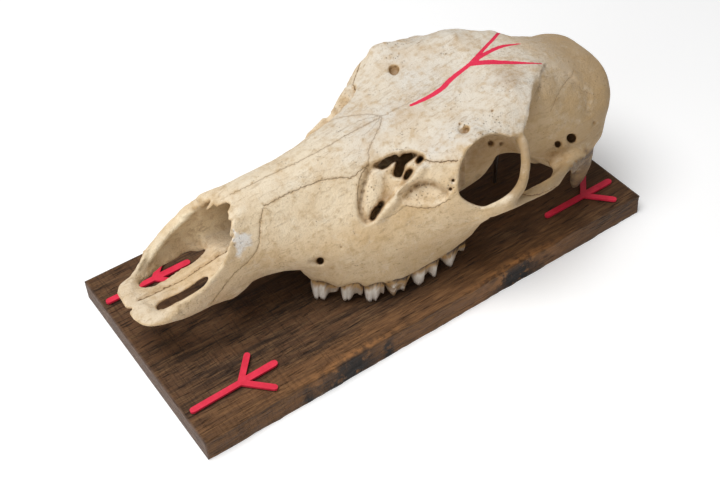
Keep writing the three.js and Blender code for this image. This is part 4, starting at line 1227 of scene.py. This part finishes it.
def wood_material():
    """Dark sawn wood with fibres along it, saw marks, worn and warm parts, bark and grey sides."""
    n = Nodes("plank")
    grain = n.noise(1.0, 6, 0.7, n.stretched((11, 150, 150)), 0.9)
    fibres = n.noise(1.0, 5, 0.7, n.stretched((60, 720, 720)))
    patches = n.noise(1.0, 4, 0.6, n.stretched((9, 22, 22)))
    dark_lines = n.ramp(n.noise(1.0, 3, 0.6, n.stretched((55, 800, 800))), 0.57, 0.68)
    cuts = n.ramp(n.noise(1.0, 4, 0.7, n.stretched((700, 45, 45))), 0.5, 0.68)
    sawn = n.times(cuts, n.number("sawn"))
    warm = n.times(n.number("warm"), n.ramp(fibres, 0.4, 0.6, 0.35, 1.0))
    worn = n.times(n.number("worn"), n.ramp(n.noise(120, 4), 0.4, 0.55))
    side_grain = n.ramp(n.noise(1.0, 5, 0.7, n.stretched((300, 60, 90))), 0.4, 0.68)
    side = n.mix(side_grain, (0.06, 0.042, 0.028, 1), (0.2, 0.145, 0.1, 1))
    bark = n.times(n.number("bark"), n.ramp(n.noise(130, 5), 0.36, 0.5))
    end_grain = n.ramp(n.noise(1.0, 4, 0.7, n.stretched((60, 60, 700))), 0.35, 0.65)
    end = n.mix(end_grain, (0.085, 0.052, 0.037, 1), (0.21, 0.135, 0.095, 1))
    colour = n.layered((0.031, 0.015, 0.007, 1), [
        (n.ramp(grain, 0.32, 0.7), (0.125, 0.057, 0.023)),
        (n.ramp(patches, 0.42, 0.7, 0.0, 0.6), (0.155, 0.072, 0.029)),
        (n.ramp(fibres, 0.46, 0.68, 0.0, 0.72), (0.2, 0.112, 0.052)),
        (n.times(dark_lines, 0.85), (0.014, 0.008, 0.005)),
        (sawn, (0.022, 0.012, 0.008)),
        (warm, (0.3, 0.14, 0.05)),
        (worn, (0.42, 0.19, 0.065)),
        (n.number("side"), side),
        (bark, (0.018, 0.014, 0.012)),
        (n.number("end"), end),
    ])
    height = n.total((fibres, 0.7), (grain, 0.5), (dark_lines, -0.9), (sawn, -1))
    rough = n.ramp(fibres, 0.3, 0.7, 0.55, 0.8)
    return n.finish(colour, rough, height, 0.8, 0.001, Specular_IOR_Level=0.3)


def sign_material():
    n = Nodes("sign")
    colour = n.mix(n.ramp(n.noise(150, 3), 0.35, 0.7), (0.80, 0.03, 0.075, 1), (0.68, 0.02, 0.055, 1))
    return n.finish(colour, 0.42, n.noise(700, 2), 0.12, 0.0003, Specular_IOR_Level=0.4)


def rod_material():
    n = Nodes("rod")
    streaks = n.noise(1.0, 3, 0.6, n.stretched((900, 900, 30)))
    colour = n.mix(n.ramp(streaks, 0.3, 0.7), (0.42, 0.4, 0.38, 1), (0.24, 0.2, 0.17, 1))
    return n.finish(colour, n.ramp(streaks, 0.3, 0.7, 0.25, 0.45), streaks, 0.2, 0.0002, Metallic=1.0)


# The bone's colours, among them a painted shade for the process below the arch and painted light for the
# face's walls and the inside of the nose.
IVORY = np.array([0.84, 0.71, 0.52])
PALE = np.array([0.73, 0.68, 0.6])
WARM = np.array([0.74, 0.54, 0.31])
TAN = np.array([0.50, 0.345, 0.185])
PAINTED_RECESS_SHADE = np.array([0.15, 0.108, 0.078])
WALL_PAINTED_LIGHT = np.array([0.93, 0.79, 0.58])
NOSE_WALL_PAINTED_LIGHT = np.array([1.0, 0.86, 0.62])
NOSE_BROWN = np.array([0.6, 0.39, 0.18])
TIP = np.array([0.76, 0.63, 0.46])
WHITE = np.array([0.9, 0.86, 0.8])

# Lines and places traced on the skull, as pixels of the photograph

# Each suture has how dark it is and its line. The first ones are on both sides, the others in the middle.
SUTURES = [
    (0.6, [(264, 206), (290, 193), (320, 181), (338, 178), (351, 177.6), (359, 172), (368, 166)]),
    (0.35, [(368, 166), (369, 158), (369, 150), (374, 138), (380, 126), (382, 116)]),
    (0.55, [(263, 209), (260, 226), (259, 244), (251, 259), (236, 272), (222.5, 289), (211, 304)]),
    (0.9, [(420, 158), (430, 161.5), (441, 162), (450, 161), (458, 161)]),
    (0.6, [(406, 205.5), (420, 208), (433, 208), (443, 203), (450, 199)]),
    (0.3, [(384, 219), (395, 214), (406, 205.5)]),
    (0.9, [(523, 194.5), (531, 195.5), (538, 194.5), (548, 191), (556, 186)]),
    (0.3, [(574, 70), (572, 76), (566, 82), (561, 89), (556, 99), (551, 112)]),
    (0.6, [(366, 168), (361, 176), (358.5, 188), (358, 200), (360, 214)]),
]
MIDDLE_SUTURES = [
    (0.4, [(230, 194.5), (270, 175), (313, 154), (350, 133), (382, 116)]),
    (0.25, [(382, 116), (420, 97), (445, 82)]),
]
GROOVE_DARKNESS = 0.8
# The sign on the forehead: each stroke's points, as pixels and half its width in millimetres.
SIGN_STROKES = [
    [(411, 105, 1.2), (427, 97.6, 1.9), (441.6, 88.4, 2.1), (452, 78, 2.0), (470, 64, 1.8)],
    [(470, 64, 1.7), (482, 50.6, 1.4), (499, 33, 1.3)],
    [(470, 64, 1.6), (481, 56, 1.8), (495, 48.6, 1.7), (507, 45, 1.3), (521, 43.6, 0.5)],
    [(470, 64, 1.8), (486.5, 62, 2.9), (500, 62, 2.7), (520, 62.6, 1.7), (542, 63.4, 0.5)],
]
# A chalky patch on the left side of the nose.
WHITE_PATCH = [(233, 229), (240, 235), (244.5, 232), (248, 233), (251.4, 235), (250, 240), (253, 243),
               (252.5, 246), (247, 245), (244.5, 251), (241, 255), (240.7, 258.8), (237, 254),
               (237, 248.5), (233, 243), (232, 240), (234.7, 237)]
# The surface behind the ridge that runs back from the orbit.
TEMPORAL_SURFACE = [(546, 62), (541, 70), (538.5, 84), (532.5, 97), (528, 109), (525, 121), (523.5, 133),
                    (530, 145), (560, 145), (592, 125), (592, 92), (570, 72)]
# The process below and behind the end of the arch, which is painted in shade.
BELOW_ARCH = [(566, 174), (570, 166), (575, 161), (581, 157.5), (586, 156), (592, 150), (596, 160),
              (580, 185), (568, 185)]
# The swelling of the roof on the right: its place and reach along and out, its rise and the least height.
SWELLING = {"at": (80, 36), "reach": (26, 13), "rise": 2.4, "above": 112}
# Stained places on the side, and painted shade in small holes and under the lacrimal bar: where, how far and
# how strongly.
STAINS_AND_SHADE = [(410, 190, 4, 0.6), (416, 186, 4, 0.65), (425, 183.5, 4.5, 0.65), (434, 184, 4, 0.55),
          (388, 172, 7, 0.4), (411, 191, 2, 1.0), (417, 186.5, 2, 0.95), (424, 184.5, 2, 0.95),
          (431, 184.5, 1.6, 0.85), (571, 166, 1.8, 0.7), (576, 161.5, 1.8, 0.8), (581, 158, 1.8, 0.7),
          (471, 141, 3.5, 0.45), (481, 134, 3, 0.45), (500, 130, 4, 0.4), (513, 134, 3.5, 0.5),
          (526, 152, 3, 0.45), (403, 184, 5, 0.5), (392, 196, 5, 0.45), (363, 167, 3, 0.5),
          (359.5, 186, 2.5, 0.5), (359, 203, 2.5, 0.55), (326, 238.5, 1.2, 0.8), (341, 247, 1.4, 0.9),
          (459.5, 124, 1.4, 1.0), (470, 121, 1.2, 0.7), (481, 120, 1.0, 0.7), (492, 111, 1.5, 1.0),
          (545, 130, 10, 0.35), (480, 136, 4, 0.4), (508, 136, 4, 0.4), (594, 123, 2.2, 0.6),
          (544, 65, 2, 0.5), (540, 83, 2, 0.45), (586, 151, 3.6, 0.8), (389, 283, 2.6, 0.9),
          (402.5, 281, 1.8, 0.9), (215, 212, 9, 0.5), (330, 268, 9, 0.3), (350, 255, 12, 0.25),
          (320, 277, 5, 0.3), (560, 120, 14, 0.25), (520, 137, 5, 0.3), (496, 131, 8, 0.3),
          (470, 230, 12, 0.2)]
# Porous places: where and how far.
POROUS = [(493, 131, 16), (463, 126, 7), (366, 190, 10), (452, 186, 8), (418, 189, 13), (400, 166, 14),
          (398, 244, 8)]


def cast(tree, pixels, steps=4):
    """Where a traced line of pixels falls on the skull, its further columns, and the surface's normals."""
    line = spline(pixels, steps)
    found, facing = [], []
    for row in line:
        hit = tree.ray_cast(Vector(EYE), pixel_ray(row[:2]))
        if hit[0] is not None:
            found.append([*hit[0], *row[2:]])
            facing.append(tuple(hit[1]))
    found, facing = np.array(found), np.array(facing)
    ends = to_skull(np.concatenate([found[:, :3], found[:, :3] + facing * MM]))
    places, beyond = ends[:len(found)], ends[len(found):]
    return places, found[:, 3:], beyond - places


def line_offsets(points, normals, line, facing=None):
    """For each point: its distances across a line in the surface, past its ends and off it, and its place
    along it, counted in the line's points. A line that faces some way counts only where the surface does."""
    best = np.full(len(points), 1e9)
    across = np.full(len(points), 50.0)
    beyond = np.full(len(points), 50.0)
    share = np.zeros(len(points))
    last = len(line) - 2
    for index, (start, end) in enumerate(zip(line, line[1:])):
        along = end - start
        length = np.linalg.norm(along)
        if length < 1e-6:
            continue
        along = along / length
        offset = points - start
        t = offset @ along
        inside = np.clip(t, 0, length)
        from_line = offset - inside[:, None] * along
        away = (from_line ** 2).sum(1)
        if facing is not None:
            away = np.where(normals @ facing[index] > 0.3, away, 1e8)
        side = np.cross(along, normals)
        side /= np.maximum(np.linalg.norm(side, axis=1, keepdims=True), 1e-6)
        past = np.zeros(len(points))
        if index == 0:
            past = np.maximum(past, -t)
        if index == last:
            past = np.maximum(past, t - length)
        closer = away < best
        best = np.where(closer, away, best)
        across = np.where(closer, (offset * side).sum(1), across)
        beyond = np.where(closer, past, beyond)
        share = np.where(closer, index + inside / length, share)
    return across, beyond, np.sqrt(best), share


def traced_lines(tree):
    """The sutures, each with its normals and its darkness, and the sign's strokes with their widths."""
    seams = []
    for sutures, both in ((SUTURES, True), (MIDDLE_SUTURES, False)):
        for darkness, pixels in sutures:
            line, _, facing = cast(tree, pixels)
            seams.append((line, facing, darkness))
            if both:
                seams.append((line * [1, -1, 1], facing * [1, -1, 1], darkness))
    groove = spline(FLOOR_GROOVE, 4)
    seams.append((groove, np.tile([0, 0, 1.0], (len(groove), 1)), GROOVE_DARKNESS))
    strokes = [cast(tree, stroke)[:2] for stroke in SIGN_STROKES]
    return seams, strokes


def near_lines(lines, reach):
    """Places of the grid within a reach of some lines."""
    marks = np.ones(GRID_SHAPE, np.float32)
    for line in lines:
        marks[inner_cells(line)] = -1
    return crowding(marks, reach) > 0


def seam_values(points, normals, seams):
    """The distance from the nearest suture, and how dark that suture is."""
    seam = np.full(len(points), 50.0)
    seam_on = np.zeros(len(points))
    for line, facing, darkness in seams:
        across, beyond, away, _ = line_offsets(points, normals, line, facing)
        closer = (np.abs(across) < np.abs(seam)) & (beyond < 0.6) & (away < 7)
        seam = np.where(closer, across, seam)
        seam_on = np.where(closer, darkness, seam_on)
    return seam, seam_on


def paint_values(points, normals, strokes):
    """The distance outside the edge of the painted sign."""
    paint = np.full(len(points), 50.0)
    for line, widths in strokes:
        _, _, away, share = line_offsets(points, normals, line)
        half_width = np.interp(share, np.arange(len(widths)), widths[:, 0])
        paint = np.minimum(paint, away - half_width)
    return paint


def left_pixels(points):
    """The photograph's pixels of the points on the left, and of the mirror images of those on the right."""
    same = np.ones(len(points))
    return to_pixels(points * np.stack([same, -np.sign(points[:, 1]), same], -1)).T


def bone_relief(points, normals, pixels, seam, seam_on, paint):
    """How far each point moves outwards: roughness, sutures, the sign, the floor's groove, the ridge."""
    shift = 0.16 * noise(points, 7) + 0.12 * noise(points, 3, 5.3)
    shift -= 0.4 * bump(seam, 0.9) * seam_on + 0.5 * np.clip(0.5 - paint, 0, 1)
    across, beyond, _, _ = line_offsets(points, normals, spline(FLOOR_GROOVE, 4))
    on_floor = (points[:, 2] < 52) & (normals[:, 2] > 0.2) & (beyond < 1)
    shift += on_floor * (0.9 * bump(np.abs(across) - 3, 1.5) - 0.7 * bump(across, 1.2))
    behind_ridge = -outline_distance(TEMPORAL_SURFACE, *pixels) * PIXEL
    sunk = 1.5 * rising(behind_ridge, 0, 1.5) * bump(np.maximum(behind_ridge - 2, 0), 7)
    return shift - sunk * (points[:, 2] > 85)


def roof_swelling(points):
    """How far the swelling of the roof lifts each point."""
    (at_x, at_y), (reach_x, reach_y) = SWELLING["at"], SWELLING["reach"]
    lump = bump(points[:, 0] - at_x, reach_x) * bump(points[:, 1] - at_y, reach_y)
    return SWELLING["rise"] * lump * (points[:, 2] > SWELLING["above"])


def largest_bump(pixels, spots):
    """The strongest of some round spots at each pixel, each given by its pixel, reach and strength."""
    u, v = pixels
    found = np.zeros(len(u))
    for centre_u, centre_v, radius, amount in spots:
        found = np.maximum(found, amount * bump(np.hypot(u - centre_u, v - centre_v), radius))
    return found


def seen_by_camera(points, normals):
    """Whether the camera sees a point's surface, or its mirror image when the point is on the right."""
    towards_camera = to_skull(BACK[None] * MM)[0] - to_skull(np.zeros((1, 3)))[0]
    outward_left = normals @ towards_camera
    outward_right = (normals * [1, -1, 1]) @ towards_camera
    return np.where(points[:, 1] < 0, outward_left, outward_right) > 0.05


def bone_dirt_and_shade(points, normals, pixels, crowded, curve, in_front):
    """How dark the bone is painted: painted shade where much bone crowds round it and inside the orbits,
    brown grime along the tip's margin, and the stains, among them painted shade in small holes and under the
    lacrimal bar.
    """
    x, y, h = points.T
    # Painted shade where much bone crowds round a point, weak on the snout.
    dirt_and_shade = rising(crowded, 0.12, 0.5) * (0.05 + 0.95 * in_front)
    margin = np.clip(-curve * 5 - 0.25, 0, 1) * falling(x, -148, 15)
    dirt_and_shade = np.maximum(dirt_and_shade, margin * (0.32 + 0.3 * noise(points, 5, 6.2)))
    # Painted shade inside the orbits.
    in_orbit = falling(outline_distance(ORBIT_RIM, *pixels), 0, 2)
    in_orbit = in_orbit * falling(np.abs(y), 60, 4) * rising(h, 50, 10)
    dirt_and_shade = np.maximum(dirt_and_shade, in_orbit * (0.42 + 0.1 * noise(points, 9, 5.5)))
    # The stains, among them painted shade in small holes and under the bar, where the camera sees the
    # surface.
    return np.maximum(dirt_and_shade, seen_by_camera(points, normals) * largest_bump(pixels, STAINS_AND_SHADE))


def build_skull(material):
    """The bone: the field's surface, made lighter where it is plain, with its relief and its markings."""
    field = blurred(skull_field())
    points, faces = surface(field)
    points = eased(points, *neighbours(len(points), faces), 3)
    tree = BVHTree.FromPolygons(plain(to_row(points)), plain(faces))
    seams, strokes = traced_lines(tree)
    near = near_lines([each[0] for each in seams + strokes], 3.5)
    points, faces = main_shell(*thinned(points, faces, MOST_TRIANGLES, at_points(near, points)))
    edges, degree = neighbours(len(points), faces)
    normals = point_normals(points, faces)
    seam, seam_on = seam_values(points, normals, seams)
    paint = paint_values(points, normals, strokes)
    pixels = left_pixels(points)
    points = points + normals * bone_relief(points, normals, pixels, seam, seam_on, paint)[:, None]
    points[:, 2] += roof_swelling(points)

    # How much bone crowds round each point, which sets its painted shade.
    crowded = at_points(crowding(field, 9), points + 8 * normals)
    curve = ((averaged(points, edges, degree) - points) * normals).sum(1)
    for _ in range(3):
        curve = averaged(curve, edges, degree)
        crowded = averaged(crowded, edges, degree)
    in_front = np.interp(points[:, 0], [-122, -100], [0, 1])
    porous = largest_bump(pixels, [(*spot, 1) for spot in POROUS]) * (points[:, 0] < 85)

    piece = make_object("skull_bone", to_row(points), faces, material, "skull")
    keep_number(piece, "seam", np.clip(seam, -20, 20))
    keep_number(piece, "seam_on", seam_on)
    keep_number(piece, "paint", np.clip(paint, -20, 20))
    # Painted shade in concave creases, weaker on the snout.
    keep_number(piece, "hollow", np.clip(curve * 6, 0, 1) * (0.25 + 0.75 * in_front))
    # Grime and painted shade.
    keep_number(piece, "dirt_and_shade", bone_dirt_and_shade(points, normals, pixels, crowded, curve, in_front))
    keep_number(piece, "porous", porous)
    # Colour with painted shade and painted light by facing and place.
    keep_colour(piece, "tone_and_shade", bone_tones_and_shade(points, normals))
    return piece


def bone_tones_and_shade(points, normals):
    """Greyish white on the forehead, ivory on the nose and warm tan on the sides, partly the bone's own
    colours and partly painted shade that darkens the sides, the lower cheek, the bar, the back and the
    process below the arch; painted light lightens the face's side walls and the inside of the nose.
    """
    x, y, h = points.T
    out = np.abs(y)
    upward = rising(normals[:, 2], 0.45, 0.4)
    patch = 0.5 + 0.5 * noise(points, 24, 2.1)
    spots = 0.5 + 0.5 * noise(points, 9, 8.2)
    low = falling(h, 62, 30) * rising(x, -95, 25)
    snout = falling(x, -110, 30) * rising(x, -195, 20)
    beside = rising(x, 60, 6) * rising(out, 60, 6)
    below_arch = np.clip(0.5 - outline_distance(BELOW_ARCH, *left_pixels(points)) / 2, 0, 1)
    process = rising(x, 148, 8) * falling(h, 54, 8) * rising(out, 34, 4)
    process = np.maximum(process, below_arch * (x > 125) * (h < 66))
    wall = rising(x, -125, 20) * falling(x, -10, 40) * rising(h, 62, 18)
    inwards = np.clip(0.2 - 4 * np.sign(y) * normals[:, 1], 0, 1)
    inside_nose = falling(x, -100, 8) * falling(out, 36, 3) * rising(h, 40, 6) * inwards * (1 - upward)
    white_edge = outline_distance(WHITE_PATCH, *to_pixels(points).T) + 1.2 * noise(points, 2.2, 9.1)
    layers = [
        # Warm on surfaces that don't face up: partly the bone's own colour, partly painted shade.
        (WARM, (1 - upward) * (0.3 + 0.55 * patch + 0.3 * spots)),
        (PALE, upward * (0.5 + 0.5 * patch) * np.maximum(rising(x, -60, 50), 0.25) * rising(h, 90, 20)),
        # Painted shade: darker tan on the lower cheek.
        (TAN, (1 - upward) * low * (0.6 + 0.3 * patch)),
        # Darker tan towards the back: partly the bone's own colour, partly painted shade.
        (TAN, (1 - upward) * rising(x, 40, 60) * (0.55 + 0.25 * patch)),
        (TAN, upward * rising(x, 110, 60) * (0.3 + 0.3 * patch)),
        (WARM, snout * upward * 0.6),
        # Painted shade: warmer and darker below the top behind the orbit.
        (WARM * 0.86, rising(x, 62, 8) * falling(h, 108, 12) * 0.75),
        # Darker bar at the side: partly the bone's brown, partly painted shade.
        (TAN * 0.75, beside * falling(h, 118, 6) * 0.85),
        # Painted shade on the process below the arch.
        (PAINTED_RECESS_SHADE, process),
        # Darker at the back: partly the bone's colour, partly painted shade.
        (TAN * 0.92, rising(x, 125, 40) * (0.75 + 0.25 * patch) * (1 - process)),
        # Painted light on the face's side walls.
        (WALL_PAINTED_LIGHT, wall * (1 - upward) * 0.8),
        # Painted light inside the nose.
        (NOSE_WALL_PAINTED_LIGHT, inside_nose),
        (NOSE_BROWN, inside_nose * rising(h, 78, 3) * 0.7),
        (TIP, falling(x, -160, 12) * upward * (0.4 + 0.6 * spots)),
        (WHITE, np.clip(0.5 - white_edge, 0, 1) * (y < 0) * (normals[:, 1] < 0)),
    ]
    tone_and_shade = np.tile(IVORY, (len(points), 1))
    for colour, share in layers:
        share = np.clip(share, 0, 1)[:, None]
        tone_and_shade = tone_and_shade * (1 - share) + colour * share
    return tone_and_shade


# Board, signs, rod and teeth

# Patches of bark on the near edge: the place of the middle, half the length and the reach over the top.
BARK_PATCHES = [(-86, 30, 4), (-118, 6, 2), (72, 24, 3), (-50, 5, 2)]


SQUARE = [(0, 0), (1, 0), (1, 1), (0, 1)]


def box_skin(counts):
    """The skin of a box of cells: its vertices, as whole steps along each axis, and its faces."""
    number, faces = {}, []
    for axis in range(3):
        first, second = (axis + 1) % 3, (axis + 2) % 3
        for a, b in np.ndindex(counts[first], counts[second]):
            for level, corners in ((counts[axis], SQUARE), (0, [corner[::-1] for corner in SQUARE])):
                face = []
                for step_a, step_b in corners:
                    vertex = [level] * 3
                    vertex[first], vertex[second] = a + step_a, b + step_b
                    face.append(number.setdefault(tuple(vertex), len(number)))
                faces.append(face)
    return np.array(list(number), float), faces


def build_board(material):
    """The plank: a fine skin over its box, with a rough near edge and sawn ends."""
    low, high = BOARD_LOW, BOARD_HIGH
    spacing = 1.7
    counts = [max(2, int(round((high[k] - low[k]) / spacing))) for k in range(3)]
    cells, faces = box_skin(counts)
    place = low + cells / counts * (high - low)
    x, y, z = place.T
    near = np.clip(1 - (y - low[1]) / 9, 0, 1)
    height = (z - low[2]) / (high[2] - low[2])
    streak = noise(np.stack([x / 6, y * 0 + 3, z / 1.5], -1), 3.0)
    wave = noise(np.stack([x, y * 0, z * 0.6], -1), 26, 4.0)
    chips = noise(np.stack([x, y * 0, z * 1.5], -1), 5, 1.7)
    wane = near * height * (1.6 + 1.5 * wave) + near * (0.5 + 0.35 * streak + 0.4 * chips)
    place[:, 1] += np.clip(wane, 0, 5)
    saw = 0.12 * noise(np.stack([x / 9, y, z * 0], -1), 1.9, 7.0)
    saw = saw + 0.10 * noise(np.stack([x / 14, y, z * 0], -1), 4.5)
    top = cells[:, 2] == counts[2]
    place[top, 2] += (saw - 0.2)[top]
    from_corner = [np.clip(1 - away / 2, 0, 1) for away in (y - low[1], high[2] - z)]
    place[:, 2] -= np.where(top, 0.8 * np.minimum(1, np.hypot(*from_corner)) ** 2, 0)
    near_side = np.clip(1 - (y - low[1]) / 0.6, 0, 1)
    from_edge = y - low[1] - 2 * wave
    bark = np.zeros(len(x))
    for middle, half_length, reach in BARK_PATCHES:
        along = np.clip(1.4 - np.abs(x - middle) / half_length, 0, 1)
        bark = np.maximum(bark, along * np.clip(1.3 - from_edge / reach, 0, 1))
    worn = np.maximum(bump(x - 72, 34), 0.7 * bump(x + 80, 40)) * bump(from_edge - 4, 4)
    piece = make_object("plank", place * MM, faces, material, "board")
    keep_number(piece, "worn", worn)
    keep_number(piece, "warm", np.clip(1.2 - from_edge / 22, 0, 0.38) * np.maximum(falling(x, 170, 60), 0.1))
    keep_number(piece, "sawn", 0.36 * falling(x, -30, 60) + 0.7 * near_side * rising(x, 100, 20))
    keep_number(piece, "side", near_side)
    keep_number(piece, "bark", bark)
    keep_number(piece, "end", np.clip(1 - (x - low[0]), 0, 1) + np.clip(1 - (high[0] - x), 0, 1))
    return piece


def carry_over(node, material):
    """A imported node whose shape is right, in a better material."""
    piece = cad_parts[node]
    piece.data.materials.clear()
    piece.data.materials.append(material)


def tooth_places(index, side, across):
    """A function from shares along and across a tooth, each -1 to 1, to skull millimetres."""
    row = np.array(TOOTH_ROW, float)
    before = row[[max(k - 1, 0) for k in (index, index + 1)]]
    after = row[[min(k + 1, len(row) - 1) for k in (index, index + 1)]]
    inwards = np.stack([(after - before)[:, 1], -(after - before)[:, 0]], -1)
    inwards /= np.linalg.norm(inwards, axis=1, keepdims=True)
    start, end = row[index], row[index + 1]
    length = np.linalg.norm(end - start)

    def place(u, v, height):
        u = u * (1 - 2 * TOOTH_GAP / length)
        part = (0.5 + 0.5 * u)[:, None]
        depth = (across * (0.5 - 0.5 * v))[:, None]
        flat = (start + inwards[0] * depth) * (1 - part) + (end + inwards[1] * depth) * part
        return np.stack([flat[:, 0], flat[:, 1] * side, height], -1)

    return place


def tooth_rings(place, across, outer_edge, u, v):
    """Rings of points down the outside of a tooth, and then up into the hollow of its chewing side."""
    edge = np.where(v > 0, outer_edge, 0.6 * outer_edge + 3.0)
    rib = np.clip(1 - outer_edge / 4.5, -0.8, 1) * np.clip(v, 0, 1)
    rings = []
    for part in np.linspace(0, 1, TOOTH_RINGS):
        height = TOOTH_ROOT + (edge - TOOTH_ROOT) * part ** 0.9
        belly = 0.81 + 0.19 * min(1, max(0, (part - 0.32) / 0.3))
        fluted = v * belly + rib * 4.2 / across * part
        rings.append(place(u * belly, fluted - 0.14 * part ** 3 * np.clip(v, 0, 1), height))
    for scale, rise in ((0.84, 0.5), (0.66, 2.0), (0.4, 3.0), (0.15, 3.2)):
        height = edge * scale + edge.mean() * (1 - scale) + rise
        rings.append(place(u * scale * 0.9, v * scale * 0.88, height))
    return rings


def tooth_faces(count, side):
    """The faces between a tooth's rings, and those that close its two ends."""
    last = (count - 1) * TOOTH_STEPS
    middle, top = count * TOOTH_STEPS, count * TOOTH_STEPS + 1
    sides, ends = [], []
    for ring in range(count):
        for step in range(TOOTH_STEPS):
            after = (step + 1) % TOOTH_STEPS
            a, b = ring * TOOTH_STEPS + step, ring * TOOTH_STEPS + after
            if a < last:
                sides += [(a, b, b + TOOTH_STEPS), (a, b + TOOTH_STEPS, a + TOOTH_STEPS)]
            else:
                ends += [(a, b, middle), (after, step, top)]
    faces = np.array(sides + ends)
    return faces[:, ::-1] if side > 0 else faces


def build_tooth(tooth, index, side, material):
    """A fluted crown whose outer edge follows the cusps, hollowed from below, on a straight root."""
    angle = np.arange(TOOTH_STEPS) * 2 * np.pi / TOOTH_STEPS
    u = np.sign(np.cos(angle)) * np.abs(np.cos(angle)) ** 0.62
    v = np.sign(np.sin(angle)) * np.abs(np.sin(angle)) ** 0.5
    outer_edge = np.interp(0.5 + 0.5 * u, *np.array(tooth["edge"]).T)
    place = tooth_places(index, side, tooth["across"])
    rings = tooth_rings(place, tooth["across"], outer_edge, u, v)
    count = len(rings)
    points = np.concatenate([*rings, [rings[-1].mean(0), rings[0].mean(0)]])
    faces = tooth_faces(count, side)
    points = points + 0.15 * noise(points, 2.2)[:, None] * point_normals(points, faces)
    side_name = "right" if side > 0 else "left"
    name = f"{side_name}_{tooth['name']}"
    piece = make_object("crown_" + name, to_row(points), faces, material, "tooth_" + name)
    bone_edge = np.interp(points[:, 0], *np.array(GUM_EDGE).T)
    above_gum = points[:, 2] - (bone_edge - GUM_DROP + 1.6 * noise(points, 4, 3.3))
    ring_of = np.concatenate([np.repeat(np.arange(count), TOOTH_STEPS), [count, 0]])
    groove = rising(outer_edge, 2.2, 3.5) * np.clip(v * 2, 0, 1)
    keep_number(piece, "gum", np.clip(above_gum / 1.5 + 0.5, 0, 1))
    # Painted shade where the tooth goes up into the bone.
    keep_number(piece, "gap", rising(above_gum, 2.9, 0.9))
    keep_number(piece, "stain", np.full(len(points), tooth["stain"]))
    keep_number(piece, "groove", np.concatenate([np.tile(groove, count), [0, 0]]))
    keep_number(piece, "worn", rising(ring_of, TOOTH_RINGS - 0.5, 1.5) * 0.8)


def build_teeth(material):
    for side in (1, -1):
        for index, tooth in enumerate(TEETH):
            build_tooth(tooth, index, side, material)


# Room

LAMP_AIM = (0, 0, 0.05)
LAMPS = [
    {"name": "key", "place": (-0.55, 0.1, 1.65), "width": 1.1, "power": 24},
    {"name": "fill", "place": (-1.5, -0.6, 0.8), "width": 1.2, "power": 4.5},
]
SKY_STRENGTH = 0.24
FLOOR_SIZE = 3.0


def add_floor():
    """A white floor just under the board."""
    size = FLOOR_SIZE
    corners = [(-size, -size, 0), (size, -size, 0), (size, size, 0), (-size, size, 0)]
    mesh = bpy.data.meshes.new("floor")
    mesh.from_pydata(corners, [], [(0, 1, 2, 3)])
    n = Nodes("floor")
    mesh.materials.append(n.finish((0.93, 0.93, 0.93, 1), 0.9, Emission_Strength=0.2))
    floor = bpy.data.objects.new("floor", mesh)
    floor.location.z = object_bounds()[0][2]
    bpy.context.scene.collection.objects.link(floor)
    floor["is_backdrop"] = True


def add_lamp(name, place, width, power):
    """A round lamp aimed at the skull."""
    data = bpy.data.lights.new(name, "AREA")
    data.shape = "DISK"
    data.size = width
    data.energy = power
    lamp = bpy.data.objects.new(name, data)
    lamp.location = place
    lamp.rotation_euler = (Vector(LAMP_AIM) - Vector(place)).to_track_quat("-Z", "Y").to_euler()
    bpy.context.scene.collection.objects.link(lamp)


def add_room():
    add_floor()
    world = bpy.data.worlds.new("studio")
    world.use_nodes = True
    sky = world.node_tree.nodes["Background"].inputs
    sky["Color"].default_value = (1, 1, 1, 1)
    sky["Strength"].default_value = SKY_STRENGTH
    bpy.context.scene.world = world
    for lamp in LAMPS:
        add_lamp(**lamp)
    bpy.context.scene.view_settings.view_transform = "Standard"


add_camera()
add_room()
build_skull(bone_material())
build_board(wood_material())
build_teeth(tooth_material())
carry_over("rod", rod_material())
SIGN = sign_material()
for sign_name in ("sign_near_left", "sign_near_right", "sign_far_left", "sign_far_right"):
    carry_over(sign_name, SIGN)

boxes = {"cad": CAD_BOX, "visual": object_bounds()}
{name: [[float(v) for v in corner] for corner in box] for name, box in boxes.items()}
